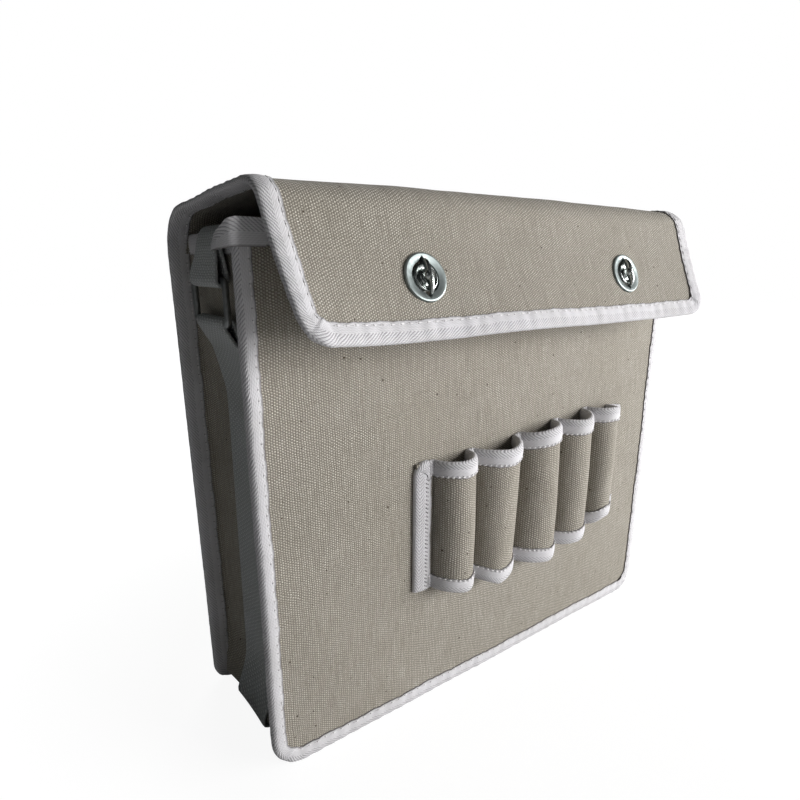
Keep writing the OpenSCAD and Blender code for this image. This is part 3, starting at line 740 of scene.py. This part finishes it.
def stitch_tree():
    """Lays short threads along a line of points on the cloth, with a dark mark after each as painted shade
    for the hole the needle made.
    """
    tree, given, made = node_group(
        "stitch row", "GeometryNodeTree",
        {"Line": "Geometry", "Pitch": 0.0034, "Length": 0.0026, "Thickness": 0.00055, "Hole length": 0.0009,
         "Slant": 0.0, "Seed": 3, "Thread": "Material", "Hole": "Material"}, {"Stitches": "Geometry"})
    calc = partial(calculated, tree)
    curve = add(tree, "GeometryNodeMeshToCurve", {"Mesh": given["Line"]})
    even = add(tree, "GeometryNodeResampleCurve", {"Curve": curve, "Length": given["Pitch"]}, mode="LENGTH")
    thread = add(tree, "GeometryNodeMeshUVSphere", {"Segments": 6, "Rings": 5, "Radius": 0.5})
    out = add(tree, "GeometryNodeInputNamedAttribute", {"Name": "out"}, data_type="FLOAT_VECTOR")
    turn = add(tree, "FunctionNodeAxesToRotation", {"Primary Axis": out.outputs["Attribute"],
                                                    "Secondary Axis": add(tree, "GeometryNodeInputTangent")},
               primary_axis="Z", secondary_axis="X")
    slant = add(tree, "ShaderNodeCombineXYZ", {2: given["Slant"]})
    slant = add(tree, "FunctionNodeEulerToRotation", {0: slant})
    turn = add(tree, "FunctionNodeRotateRotation", {0: turn, 1: slant}, rotation_space="LOCAL")
    jitter = add(tree, "FunctionNodeRandomValue", {2: 0.85, 3: 1.1, "Seed": given["Seed"]}, data_type="FLOAT")
    thick = given["Thickness"]
    sizes = ((calc("MULTIPLY", given["Length"], jitter.outputs[1]), thick, thick),
             (given["Hole length"], calc("MULTIPLY", thick, 1.9), calc("MULTIPLY", thick, 0.8)))
    threads, holes = [add(tree, "GeometryNodeInstanceOnPoints",
                          {"Points": even, "Instance": thread, "Rotation": turn,
                           "Scale": add(tree, "ShaderNodeCombineXYZ", dict(enumerate(size)))})
                      for size in sizes]
    step = add(tree, "ShaderNodeCombineXYZ", {0: calc("MULTIPLY", given["Pitch"], 0.5)})
    holes = add(tree, "GeometryNodeTranslateInstances", {"Instances": holes, "Translation": step})
    holes = add(tree, "GeometryNodeStoreNamedAttribute",
                {"Geometry": holes, "Name": "is hole", "Value": True}, data_type="BOOLEAN", domain="INSTANCE")
    both = add(tree, "GeometryNodeJoinGeometry", {0: threads})
    feed(tree, both, {0: holes})
    marked = add(tree, "GeometryNodeInputNamedAttribute", {"Name": "is hole"}, data_type="BOOLEAN")
    real = add(tree, "GeometryNodeRealizeInstances", {0: both})
    sewn = add(tree, "GeometryNodeSetMaterial", {"Geometry": real, "Material": given["Thread"]})
    sewn = add(tree, "GeometryNodeSetMaterial", {"Geometry": sewn, "Selection": marked.outputs["Attribute"],
                                                 "Material": given["Hole"]})
    feed(tree, made, {"Stitches": sewn})
    return tree


def thread_material(name, light, dark):
    """Thread, or the painted shade that shows in the hole between two stitches of it."""
    material, tree = new_material(name)
    tone = effect(tree, cloth_tone, {"Patch size": 300})
    surface(tree, {"Base Color": mix_colour(tree, "MIX", tone["Patch"], light, dark),
                   "Roughness": ranged(tree, tone["Fuzz"], 0.3, 0.7, 0.6, 0.8)}, tone["Fuzz"], 0.4, 0.0001)
    return material


stitch_row = stitch_tree()
thread_cloth = thread_material("sewing thread", (226, 223, 224), (200, 197, 198))
# Painted shade: the dark colour in the hole each stitch leaves, and a fainter grey where a pulled thread dips
# into the tape.
needle_hole_shade = thread_material("needle-hole shade", (96, 92, 94), (70, 67, 69))
thread_dip_shade = thread_material("pulled-thread shade", (176, 173, 174), (150, 147, 148))


def sew(name, rows_of, pitch=5.0, seed=3, thickness=0.5, hole=1.1, slant=0.0, hole_shade=needle_hole_shade):
    """Rows of stitches. Each row is a sheet, its path in the sheet's pattern, and its height."""
    points, outs, edges = [], [], []
    for place, path, lift in rows_of:
        at, out = skin(place, path[:, 0], path[:, 1], lift)
        first = sum(len(p) for p in points)
        points.append(at)
        outs.append(out)
        edges += [(first + i, first + i + 1) for i in range(len(at) - 1)]
    mesh = bpy.data.meshes.new(name)
    mesh.from_pydata((np.concatenate(points) * mm).tolist(), edges, [])
    mark = mesh.attributes.new("out", "FLOAT_VECTOR", "POINT")
    mark.data.foreach_set("vector", np.concatenate(outs).astype(np.float32).ravel())
    piece = bpy.data.objects.new(name, mesh)
    bpy.context.collection.objects.link(piece)
    sewing = piece.modifiers.new("sewing", "NODES")
    sewing.node_group = stitch_row
    known = {item.name: item.identifier for item in stitch_row.interface.items_tree if item.in_out == "INPUT"}
    for label, value in (("Pitch", pitch * mm), ("Length", 0.78 * pitch * mm), ("Hole length", hole * mm),
                         ("Slant", slant), ("Thickness", thickness * mm), ("Seed", seed),
                         ("Thread", thread_cloth), ("Hole", hole_shade)):
        sewing[known[label]] = value
    settled(piece)
    piece.data.shade_smooth()
    return piece


def sew_through(name, place, path, half=1.0, centre=0.0):
    """One row through a folded tape, seen on both faces of it, with the middle of what it holds."""
    return sew(name, [(place, path, half + centre + tape_t), (place, path, centre - half - tape_t)])


leg = 10.0
edge_leg = 9.2
sewn_in = 7.7
mouth_low = 268.0
front_path, _ = rounded([(-panel_half, mouth_low + 5), (-panel_half, panel_low), (panel_half, panel_low),
                         (panel_half, mouth_low + 5)], [panel_corner] * 2, 1.3)
front_legs = 6.5 + 2.3 * eased(panel_corner - front_path[:, 1], 0, 16)
front_binding = bind("front_binding_tape", front_sheet, front_path, (front_legs, front_legs), 2.0, -1.0,
                     tape_cloth)
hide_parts("front_binding")
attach(front_binding, "bag")
sewn_path = inset(front_path, front_legs[:, None] - 1.5)[3:-3]
front_stitches = sew_through("front_binding_stitches", front_sheet, sewn_path, 2.0, -1.0)
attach(front_stitches, "bag")

lower, _ = rounded([(-panel_half, 60), (-panel_half, 0), (panel_half, 0), (panel_half, 60)],
                   [back_corner] * 2, 1.6)
rise_b = np.linspace(62, top_mid_b, int((top_mid_b - 62) / 1.6))
back_path = np.concatenate([np.stack([-half_at(rise_b[::-1]), rise_b[::-1]], axis=-1), lower,
                            np.stack([half_at(rise_b), rise_b], axis=-1)])
seam = np.clip((274 - back_path[:, 1]) / 12, 0, 1)
back_binding = bind("back_binding_tape", flap_sheet, back_path, (edge_leg, edge_leg), 1.0 + seam, -seam,
                    turned_tape_cloth)
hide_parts("back_binding", "flap_top_binding")
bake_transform(back_binding)
back_stitches = sew_through("back_binding_stitches", flap_sheet, inset(back_path, sewn_in), 1.0 + seam, -seam)
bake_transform(back_stitches)

flap_path, _ = rounded([(flap_half, top_mid_b), (flap_half, side_length), (-flap_half, side_length),
                        (-flap_half, top_mid_b)], [flap_corner] * 2, 1.2)
flap_binding = bind("flap_binding_tape", flap_sheet, flap_path, (edge_leg, edge_leg), 1.0, 0.0,
                    tape_cloth, 0.35)
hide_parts("flap_drop_binding")
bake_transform(flap_binding)
flap_stitches = sew_through("flap_binding_stitches", flap_sheet, inset(flap_path, sewn_in))
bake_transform(flap_stitches)

# Mouth tape
# A wider tape along the front panel's free edge. At each corner its end is doubled, led back
# over the gusset and left as a short tail.
mouth_leg = 10.5
tail_t = 1.7
tail_height = 10


def level_path(edge, level):
    """A path along an edge at one level of the flat pattern."""
    return np.stack([edge, np.full_like(edge, level)], axis=-1)


edge = np.linspace(panel_half, -panel_half, 170)
mouth_path = level_path(edge, panel_top)
climb = eased(np.abs(edge), 144, 149)
mouth_tape = bind("mouth_tape_fold", front_sheet, mouth_path, (mouth_leg - 0.4, mouth_leg - 0.8),
                  1 + 0.5 * climb, 0.5 * climb, tape_cloth, 0.4)
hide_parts("mouth_tape")
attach(mouth_tape, "bag")
mouth_stitches = sew_through("mouth_tape_stitches", front_sheet, inset(mouth_path, mouth_leg - 2.4)[9:-9])
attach(mouth_stitches, "bag")
for side, label in sides:
    tail_line, tail_length = rounded([(side * 147.0, -33.2), (side * 160.8, -33.0), (side * 164.6, -26.5),
                                      (side * 164.2, -19.0)], [3.5, 5.0], 0.1)
    tail_at = follow(tail_line, tail_length)
    tail_marks = [0, 12.5, 15.5, 20.5, tail_length]

    def tail_sheet(a, b, tail_at=tail_at, tail_marks=tail_marks):
        """The tail's middle surface, along it and up it."""
        flat = tail_at(a)
        top = np.interp(a, tail_marks, [280.2, 280.4, 279.4, 275.2, 269.4])
        low = np.interp(a, tail_marks, [268.9, 268.9, 268.6, 268.0, 267.6])
        return np.stack([flat[..., 0], flat[..., 1], low + (top - low) * b / tail_height], axis=-1)

    tail_sheet.facing = -side
    tail_a, tail_b = np.meshgrid(np.linspace(0, tail_length, 46), np.linspace(0, tail_height, 12),
                                 indexing="ij")
    tail = lay_sheet(f"mouth_tail_{label}", tail_sheet, tail_a, tail_b, tail_t, tape_cloth)
    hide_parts("mouth_tape")
    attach(tail, "bag")

# The gusset's two upper edges have the narrow tape.
for side, label in sides:
    depth = np.linspace(11.4, fold_length - 11.4, 52)
    top_path = level_path(depth, 0.0) if side < 0 else level_path(depth[::-1], wall_length)
    top_tape = bind(f"gusset_tape_{label}", gusset_sheet, top_path, (leg - 0.4, leg - 0.4), 1.0, 0.0,
                    tape_cloth, 0.3)
    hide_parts(f"gusset_top_tape_{label}")
    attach(top_tape, "bag")
    top_stitches = sew_through(f"gusset_tape_stitches_{label}", gusset_sheet, inset(top_path, leg - 2.1))
    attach(top_stitches, "bag")

# Tool loops
# A strip of the same duck sewn down in six places, so that it stands out in five loops for
# screwdrivers and pencils. Its long edges and its left end are bound with the same tape.
strip_low, strip_high = 79.8, 157.2
loop_rise = 15.0
loops = [(-45.24, 13.361), (-11.21, 18.026), (26.10, 16.619), (59.72, 14.108), (89.65, 13.004)]


def softened(values, half, before=None, after=None):
    """Values blurred over so many on each side of every one, and held level past their ends."""
    before = np.full(half, values[0]) if before is None else before
    after = np.full(half, values[-1]) if after is None else after
    weights = np.exp(-np.linspace(-2, 2, 2 * half + 1) ** 2)
    return np.convolve(np.concatenate([before, values, after]), weights / weights.sum(), "valid")


plan = [(-70.2, 1.0), (-60.0, 1.0)]
for x, radius in loops:
    middle = loop_rise - radius
    reach = math.acos(np.clip((1 - middle) / (radius - 1), -1, 1))
    for t in np.linspace(-reach, reach, 60):
        plan.append((x + (radius - 1) * math.sin(t), middle + (radius - 1) * math.cos(t)))
plan += [(104.6, 1.0), (115.9, 1.0)]
plan = np.array(plan)
run = distances(plan)
even = np.arange(0, run[-1], 0.25)
plan = points_on(plan, run, even)
plan = np.stack([softened(plan[:, 0], 6), np.maximum(softened(plan[:, 1], 6), 1.0)], axis=-1)
plan_length = even[-1]
plan_at = follow(plan, plan_length)


def along_strip(values):
    """A smooth line through one value for each place on the strip: its ends, seams and loops."""
    places = [-71, -59, -45, -31, -11, 7.5, 26, 43.5, 60, 74.7, 89.6, 103.5, 116]
    fine = np.arange(-80, 126, 0.5)
    return fine, softened(np.interp(fine, places, values), 8)


strip_tops = along_strip([157.5, 157.5, 157.2, 158.6, 157.4, 161.0, 163.8, 164.6, 163.8, 167.4, 167.6,
                          165.2, 163.6])
strip_lows = along_strip([80.0, 80.0, 76.4, 78.0, 71.4, 76.0, 73.0, 77.0, 78.0, 82.0, 88.6, 87.6, 87.0])
strip_cone = along_strip([0, 0, 1.5, 0, -4.0, 0, 3.5, 0, 1.5, 0, -2.5, 0, 0])


def loop_sheet(a, b):
    """The gathered strip's middle surface, along its loops and up it."""
    flat = plan_at(a)
    x, off = flat[..., 0], flat[..., 1] - 1.0
    up = (b - strip_low) / (strip_high - strip_low)
    top, low = np.interp(x, *strip_tops), np.interp(x, *strip_lows)
    z = low + (top - low) * up
    share = np.clip(off / (loop_rise - 2), 0, 1)
    lean_over = 0.14 * off + np.interp(x, *strip_cone) * share * (1 - np.clip(up, 0, 1))
    belly = off * (0.04 * np.sin(math.pi * np.clip(up, 0, 1)) - 0.02 + 0.03 * np.sin(a / 17.0 + 2.2 * up))
    uneven = 0.2 * swell(a, b, 14, 6.0) * np.clip(off / 5, 0, 1)
    ground = front_mid_y - canvas_t / 2 - front_out(x, z)
    return np.stack([x + lean_over, ground - 1.0 - off - belly - uneven, z], axis=-1)


loop_canvas = canvas_material("loop canvas", 0.93)
grid_a, grid_b = np.meshgrid(np.arange(0, plan_length + 0.1, 1.0), np.linspace(strip_low, strip_high, 40))
loop_strip = lay_sheet("loop_strip_cloth", loop_sheet, grid_a, grid_b, canvas_t, loop_canvas)
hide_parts("tool_loop_strip")
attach(loop_strip, "bag")
loop_leg = 8.3
loop_top_path = level_path(np.linspace(plan_length, 9.0, 300), strip_high)
loop_low_path = level_path(np.linspace(9.0, plan_length, 300), strip_low)
loop_end_path, _ = rounded([(16.0, strip_high + 0.4), (-0.4, strip_high + 0.4), (-0.4, strip_low - 0.4)],
                           [7.0], 1.5)
loop_end_path = loop_end_path[loop_end_path[:, 0] < 9.5]
for label, path, legs in (("top", loop_top_path, (loop_leg, 6.0)), ("bottom", loop_low_path, (loop_leg, 6.0)),
                          ("end", loop_end_path, (10.4, 2.5))):
    tape = bind(f"loop_{label}_fold", loop_sheet, path, legs, 1.0, 0.0, tape_cloth, 0.3)
    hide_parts(f"loop_{label}_tape")
    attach(tape, "bag")
loop_rows = [(loop_sheet, inset(path, loop_leg - 0.7), 1.0 + tape_t)
             for path in (loop_top_path, loop_low_path)]
loop_stitches = sew("loop_stitches", loop_rows, pitch=3.0, seed=5, thickness=0.95, hole=0.9, hole_shade=thread_dip_shade)
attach(loop_stitches, "bag")
# The end tape is sewn down with a slanting stitch that draws it up like a cord. The long dark marks between
# its stitches are painted shade.
end_row = (loop_sheet, inset(loop_end_path, 7.2), 1.2 + tape_t)
end_stitches = sew("loop_end_stitches", [end_row], pitch=2.4, seed=6, hole=2.8, slant=0.95)
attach(end_stitches, "bag")

# Load strap
# Flat-woven white webbing, sewn up one side of the bag, under it and up the other side. At each
# end it is turned round a ring's lower bar and sewn to itself.
strap_half = 19.0
strap_mid_y = 20.607
strap_t = 1.8
gathered_share = 0.3
gathered_forward = 5.0
slider_x, slider_hold = 30, 30
bar_x = 153.9
ring_low_z = 234.0
eye_r = 2.85
webbing, tree = new_material("flat webbing")
cloth = effect(tree, weave, {"Warp pitch": 0.0019, "Weft pitch": 0.00125, "Weft height": 0.45,
                             "Speck size": 0.0})
tone = effect(tree, cloth_tone, {"Patch size": 40, "Strength": 0.6})
# Painted shade: the webbing's colour darkens in the gaps between its yarns.
colour = mix_colour(tree, "MIX", ranged(tree, cloth["Shade"], 0.3, 0.9), (146, 148, 149), (192, 194, 194))
colour = mix_colour(tree, "MULTIPLY", tone["Patch"], colour, (238, 238, 234))
surface(tree, {"Base Color": colour, "Roughness": ranged(tree, tone["Fuzz"], 0.3, 0.7, 0.7, 0.85),
               "Specular IOR Level": 0.35, "Sheen Weight": 0.08}, cloth["Height"], 0.8, 0.0005)


def flat_laid(b):
    """Webbing at its full width all along."""
    return 0 * b


def strap(name, line, length, step=2.0, gathered=flat_laid):
    """Webbing led along a line drawn in the bag's width and height, and narrowed where it is gathered."""
    at = follow(line, length)

    def strap_sheet(a, b):
        """The webbing's middle surface, across it and along it."""
        flat = at(b)
        x, z = flat[..., 0], flat[..., 1]
        deep = strap_mid_y + a
        inward = drawn_in(deep, gusset_top - z) * eased(np.abs(x), 110, 136)
        out, down = hung(x, deep, z)
        # Webbing inside the bag doesn't hang where the slider lies.
        down = down * np.where(z > gusset_floor, 1 - np.exp(-((x - slider_x) / slider_hold) ** 2), 1)
        narrow = gathered(b)
        deep = strap_mid_y + a * (1 - gathered_share * narrow) - gathered_forward * narrow
        return np.stack([x - np.sign(x) * inward + out, deep, z - down], axis=-1)

    strap_sheet.facing = -1
    half_shares = np.array([0, 0.25, 0.55, 0.8, 0.94, 0.985, 1])
    shares = np.concatenate([-half_shares[:0:-1], half_shares])
    a, b = np.meshgrid(shares * strap_half, np.linspace(0, length, int(length / step) + 1))
    full = strap_t * np.interp(np.abs(a), [0, 0.93 * strap_half, 0.98 * strap_half, strap_half],
                               [1, 1, 0.8, 0.45])
    piece = lay_sheet(name, strap_sheet, a, b, full, webbing)
    return piece, strap_sheet


turn = [(math.cos(t), math.sin(t)) for t in np.linspace(math.radians(-10), math.radians(190), 14)]
left_half = [(-150.1, 214.0), (-150.2, 222.0)]
left_half += [(-bar_x - eye_r * c, ring_low_z + eye_r * s) for c, s in reversed(turn)]
left_half += [(-152.4, 221.0), (-152.0, 206.0), (-151.4, 198.0), (-151.0, 180.0), (-151.0, 60.0),
              (-151.0, 20.0), (-150.8, 14.0), (-149.6, 11.4), (-147.0, 10.1), (-140.0, 9.9), (-100.0, 9.9)]


def smooth_line(points, step=0.25, spread=1.6):
    """A dense line through the points, with its corners eased."""
    run = distances(np.array(points, float))
    line = points_on(np.array(points, float), run, np.arange(0, run[-1], step))
    half = int(spread * 2 / step)
    line = np.stack([softened(values, half, 2 * values[0] - values[half:0:-1],
                              2 * values[-1] - values[-2:-half - 2:-1]) for values in line.T], axis=-1)
    return evened(line, step)


load_line, load_length = smooth_line(left_half + [(-x, z) for x, z in reversed(left_half)], spread=0.9)
load_strap, load_sheet = strap("load_strap_webbing", load_line, load_length)
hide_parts("load_strap")
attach(load_strap, "bag")
row_inset = 3.0
row_apart = 10.0
across_strap = np.linspace(-strap_half + row_inset, strap_half - row_inset, 20)
row_marks = [row_inset, row_inset + row_apart]
row_marks += [load_length - mark for mark in reversed(row_marks)]
load_rows = [(load_sheet, level_path(across_strap, mark), strap_t / 2 + 0.1) for mark in row_marks]
load_stitches = sew("load_strap_stitches", load_rows, pitch=3.2, seed=7)
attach(load_stitches, "bag")

# Rings
# Rings of nickel-plated wire, slightly tarnished, that join the shoulder strap to the load strap.
# Each is bent to a rectangle from one length of wire, and the eye sewn round its lower bar holds it.


def metal_group():
    """Plating dulled in clouds by handling, with fine scratches."""
    tree, given, made = node_group("handled plating", "ShaderNodeTree", {"Scale": 400.0, "Dulling": 0.5},
                                   {"Dull": "Float", "Scratch": "Float"})
    where = add(tree, "ShaderNodeTexCoord").outputs["Object"]
    cloud = add(tree, "ShaderNodeTexNoise", {"Vector": where, "Scale": given["Scale"], "Detail": 5})
    stretch = add(tree, "ShaderNodeMapping", {"Vector": where, "Scale": (3000, 500, 2600)})
    feed(tree, made, {
        "Dull": calculated(tree, "MULTIPLY", cloud, given["Dulling"]),
        "Scratch": add(tree, "ShaderNodeTexNoise", {"Vector": stretch, "Scale": 1.0, "Detail": 3})})
    return tree


plating = metal_group()


def nickel_material(name, bright, dull, shine, dulling):
    """Nickel plating, from bright to dull."""
    material, tree = new_material(name)
    worn = effect(tree, plating, {"Dulling": dulling})
    surface(tree, {"Base Color": mix_colour(tree, "MIX", worn["Dull"], bright, dull), "Metallic": 1.0,
                   "Roughness": ranged(tree, worn["Dull"], 0.1, 0.4, shine, shine + 0.18)},
            worn["Scratch"], 0.12, 0.0001)
    return material


def dress(node, material):
    """Gives a CAD node its finish."""
    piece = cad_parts[node]
    if not piece.data.materials:
        piece.data.materials.append(material)
    for held in piece.material_slots:
        held.material = material


ring_nickel = nickel_material("ring nickel", (150, 152, 152), (96, 98, 98), 0.24, 0.7)
for side in ("left", "right"):
    dress(f"strap_ring_{side}", ring_nickel)

# Shoulder strap
# One long band of the same webbing. Each end is looped round a ring's upper bar and rises in a
# slack bow over the gusset's edge, and the rest is stowed inside the bag with its slider.
ring_high_z = 254.8


def bunched(b):
    """The bow draws together and forward where it crosses the gusset's edge, and so does its tail."""
    return eased(b, 27, 13) + eased(b, 35, 44)


for side, label in sides:
    bow = [(148.0, gusset_top + 2.9), (151.2, gusset_top + 2.5), (153.8, gusset_top - 0.4),
           (155.4, gusset_top - 6.0), (155.8, 264.0), (156.3, 257.5)]
    bow += [(bar_x + eye_r * math.cos(t), ring_high_z + eye_r * math.sin(t))
            for t in np.linspace(math.radians(0), math.radians(-190), 16)]
    bow += [(151.5, 259.5), (152.2, 264.5), (153.4, 269.5), (152.4, 272.6)]
    end_line, end_length = smooth_line([(side * x, z) for x, z in bow], spread=0.7)
    strap_end, _ = strap(f"strap_end_{label}_webbing", end_line, end_length, 1.2, bunched)
    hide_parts(f"strap_end_{label}")
    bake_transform(strap_end)

over = gusset_top + 2.9
stowed = [(-148.0, over), (-145.6, over - 0.6), (-144.5, over - 3.4), (-144.2, 262.0), (-145.4, 200.0),
          (-145.4, 60.0), (-145.0, 30.0), (-141.0, 20.0), (-133.0, 15.6), (-120.0, 15.2), (-80.0, 15.8),
          (-30.0, 15.2), (2.0, 14.8), (16.0, 14.2), (22.0, 14.4), (28.0, 19.2), (32.0, 19.2), (38.0, 14.4),
          (44.0, 14.2)]
stowed += [(-x, z) for x, z in reversed(stowed[:11])]
stowed_line, stowed_length = smooth_line(stowed, spread=1.2)


def bunched_ends(b):
    """The stowed part widens again just inside the gusset's edge."""
    return eased(b, 22, 6) + eased(stowed_length - b, 22, 6)


stowed_strap, _ = strap("shoulder_strap_webbing", stowed_line, stowed_length, 2.0, bunched_ends)
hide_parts("shoulder_strap")
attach(stowed_strap, "bag")
doubled = [(-142.0, 262.0), (-143.2, 200.0), (-143.2, 60.0), (-142.6, 32.0), (-138.6, 23.0), (-132.0, 18.0),
           (-120.0, 17.4), (-80.0, 18.1), (-30.0, 17.4), (0.0, 17.2), (14.0, 18.4), (20.0, 19.3)]
doubled_line, doubled_length = smooth_line(doubled, spread=1.6)
doubled_strap, _ = strap("shoulder_strap_second_layer", doubled_line, doubled_length)
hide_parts("shoulder_strap")
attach(doubled_strap, "bag")
dress("strap_slider", ring_nickel)

# Turn locks
# Pressed and nickelled brass: a plate with a ball-shaped boss on the panel, a wing that turns
# in it, and a dished eyelet in the flap that the wing passes through and locks across.
lock_nickel = nickel_material("lock nickel", (148, 155, 154), (88, 95, 94), 0.3, 0.8)
boss_nickel = nickel_material("boss nickel", (196, 200, 198), (120, 125, 123), 0.13, 0.5)
for side in ("left", "right"):
    for part in ("lock_eyelet", "eyelet_washer"):
        dress(f"{part}_{side}", lock_nickel)
    for part in ("lock_base", "lock_backing"):
        dress(f"{part}_{side}", boss_nickel)

# The button is one casting: an oval wing with a swollen middle, on a shaft with a saucer at its foot.
wing_half, wing_rise, wing_foot = 8.7, 3.8, 1.75
wing_thick, middle_thick = 1.3, 0.9
shaft_profile = [(0.0, -11.4), (2.0, -11.4), (2.0, -0.85), (5.0, -0.8), (6.2, -0.4), (6.75, 0.3), (6.8, 0.9),
                 (6.4, 1.4), (5.9, 1.5), (5.4, 1.2), (5.0, 0.6), (4.4, 0.3), (3.2, 0.35), (2.7, 0.9),
                 (2.6, 1.9), (2.75, 3.0), (2.6, 4.0), (2.0, 4.9), (1.0, 5.35), (0.0, 5.45)]
sideways = np.array([1.0, 0, 0])
upward = np.array([0, math.sin(lean), math.cos(lean)])
facing = np.array([0, -math.cos(lean), math.sin(lean)])
along = wing_half * np.sin(np.linspace(-math.pi / 2, math.pi / 2, 41))[:, None]
turn = np.linspace(0, 2 * math.pi, 28, endpoint=False)[None, :]
end_share = np.abs(along) / wing_half
tall = wing_rise * np.clip(1 - end_share ** 2.6, 0.0005, 1) ** 0.55
share = 0.5 + 0.5 * np.sign(np.sin(turn)) * np.abs(np.sin(turn)) ** 0.6
thick = wing_thick * np.clip(1 - end_share ** 6, 0.0005, 1) ** 0.5 * (1 - 0.25 * share)
thick = thick + middle_thick * np.exp(-(along / 2.6) ** 2) * (1 - 0.6 * share)
off = thick * np.sign(np.cos(turn)) * np.abs(np.cos(turn)) ** 0.6
out = wing_foot + tall * share
spin = np.linspace(0, 2 * math.pi, 32, endpoint=False)
for side, label in sides:
    origin = np.array([side * lock_x, *lock_on_flap])
    wing = (origin + off[..., None] * sideways + (along + 0 * turn)[..., None] * upward
            + out[..., None] * facing)
    shaft = np.array([[origin + r * math.cos(t) * sideways + r * math.sin(t) * upward + h * facing
                       for t in spin] for r, h in shaft_profile])
    points, faces = np.concatenate([wing.reshape(-1, 3), shaft.reshape(-1, 3)]), []
    for shape, first in ((wing, 0), (shaft, wing.shape[0] * wing.shape[1])):
        number, walls = tube_faces(*shape.shape[:2], first)
        faces += walls + [number[0, ::-1].tolist(), number[-1].tolist()]
    button = mesh_of(f"turn_button_{label}_casting", points, faces, np.zeros((len(points), 2)), boss_nickel)
    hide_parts(f"turn_button_{label}")
    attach(button, f"button_{label}")

# Floor and light
# A plain pale sheet under the bag, which fades to white round it, and plain soft studio light from
# the front right. A second lamp lights the bag from behind, and a weak one from the left.
floor_mesh = bpy.data.meshes.new("floor")
floor_half = 4
floor_mesh.from_pydata([(x * floor_half, y * floor_half, 0) for x, y in ((-1, -1), (1, -1), (1, 1), (-1, 1))],
                       [], [(0, 1, 2, 3)])
floor = bpy.data.objects.new("floor", floor_mesh)
bpy.context.collection.objects.link(floor)
floor_paper, tree = new_material("floor paper")
paper = tree.nodes["Principled BSDF"]
feed(tree, paper, {"Base Color": (0.8, 0.8, 0.8, 1), "Roughness": 0.9, "Specular IOR Level": 0.0})
glow = add(tree, "ShaderNodeEmission", {"Strength": 1.1})
reach = add(tree, "ShaderNodeVectorMath", {0: add(tree, "ShaderNodeTexCoord").outputs["Object"]},
            operation="LENGTH")
seen = calculated(tree, "MULTIPLY", add(tree, "ShaderNodeLightPath").outputs["Is Camera Ray"],
                  ranged(tree, reach.outputs["Value"], 0.2, 0.55, 0.84, 1.0))
both = add(tree, "ShaderNodeMixShader", {0: seen, 1: paper, 2: glow})
feed(tree, tree.nodes["Material Output"], {"Surface": both})
floor_mesh.materials.append(floor_paper)

# The camera sees white round the bag, which itself gets only a faint cool glow from there.
world = bpy.data.worlds.new("studio")
bpy.context.scene.world = world
world.use_nodes = True
tree = world.node_tree
feed(tree, tree.nodes["Background"], {"Color": (0.88, 1, 1, 1), "Strength": 0.022})
white = add(tree, "ShaderNodeBackground", {"Color": (1, 1, 1, 1), "Strength": 1.0})
both = add(tree, "ShaderNodeMixShader", {0: add(tree, "ShaderNodeLightPath").outputs["Is Camera Ray"],
                                         1: tree.nodes["Background"], 2: white})
feed(tree, tree.nodes["World Output"], {"Surface": both})


def softbox(name, place, aim, size, power):
    """A soft rectangular lamp turned to what it lights."""
    lamp = bpy.data.lights.new(name, "AREA")
    lamp.shape = "RECTANGLE"
    lamp.size, lamp.size_y = size
    lamp.energy = power
    light = bpy.data.objects.new(name, lamp)
    bpy.context.collection.objects.link(light)
    light.location = place
    light.rotation_euler = (Vector(aim) - Vector(place)).to_track_quat("-Z", "Y").to_euler()


softbox("key softbox", (1.12, -1.22, 0.46), (0, 0, 0.1), (1.4, 0.9), 50)
softbox("back softbox", (0.9, 1.8, 1.1), (0, 0, 0.15), (1.4, 1.4), 26)
softbox("left softbox", (-1.1, -0.7, 0.8), (-0.15, 0, 0.18), (0.5, 0.7), 0.5)
bpy.context.scene.view_settings.view_transform = "Standard"
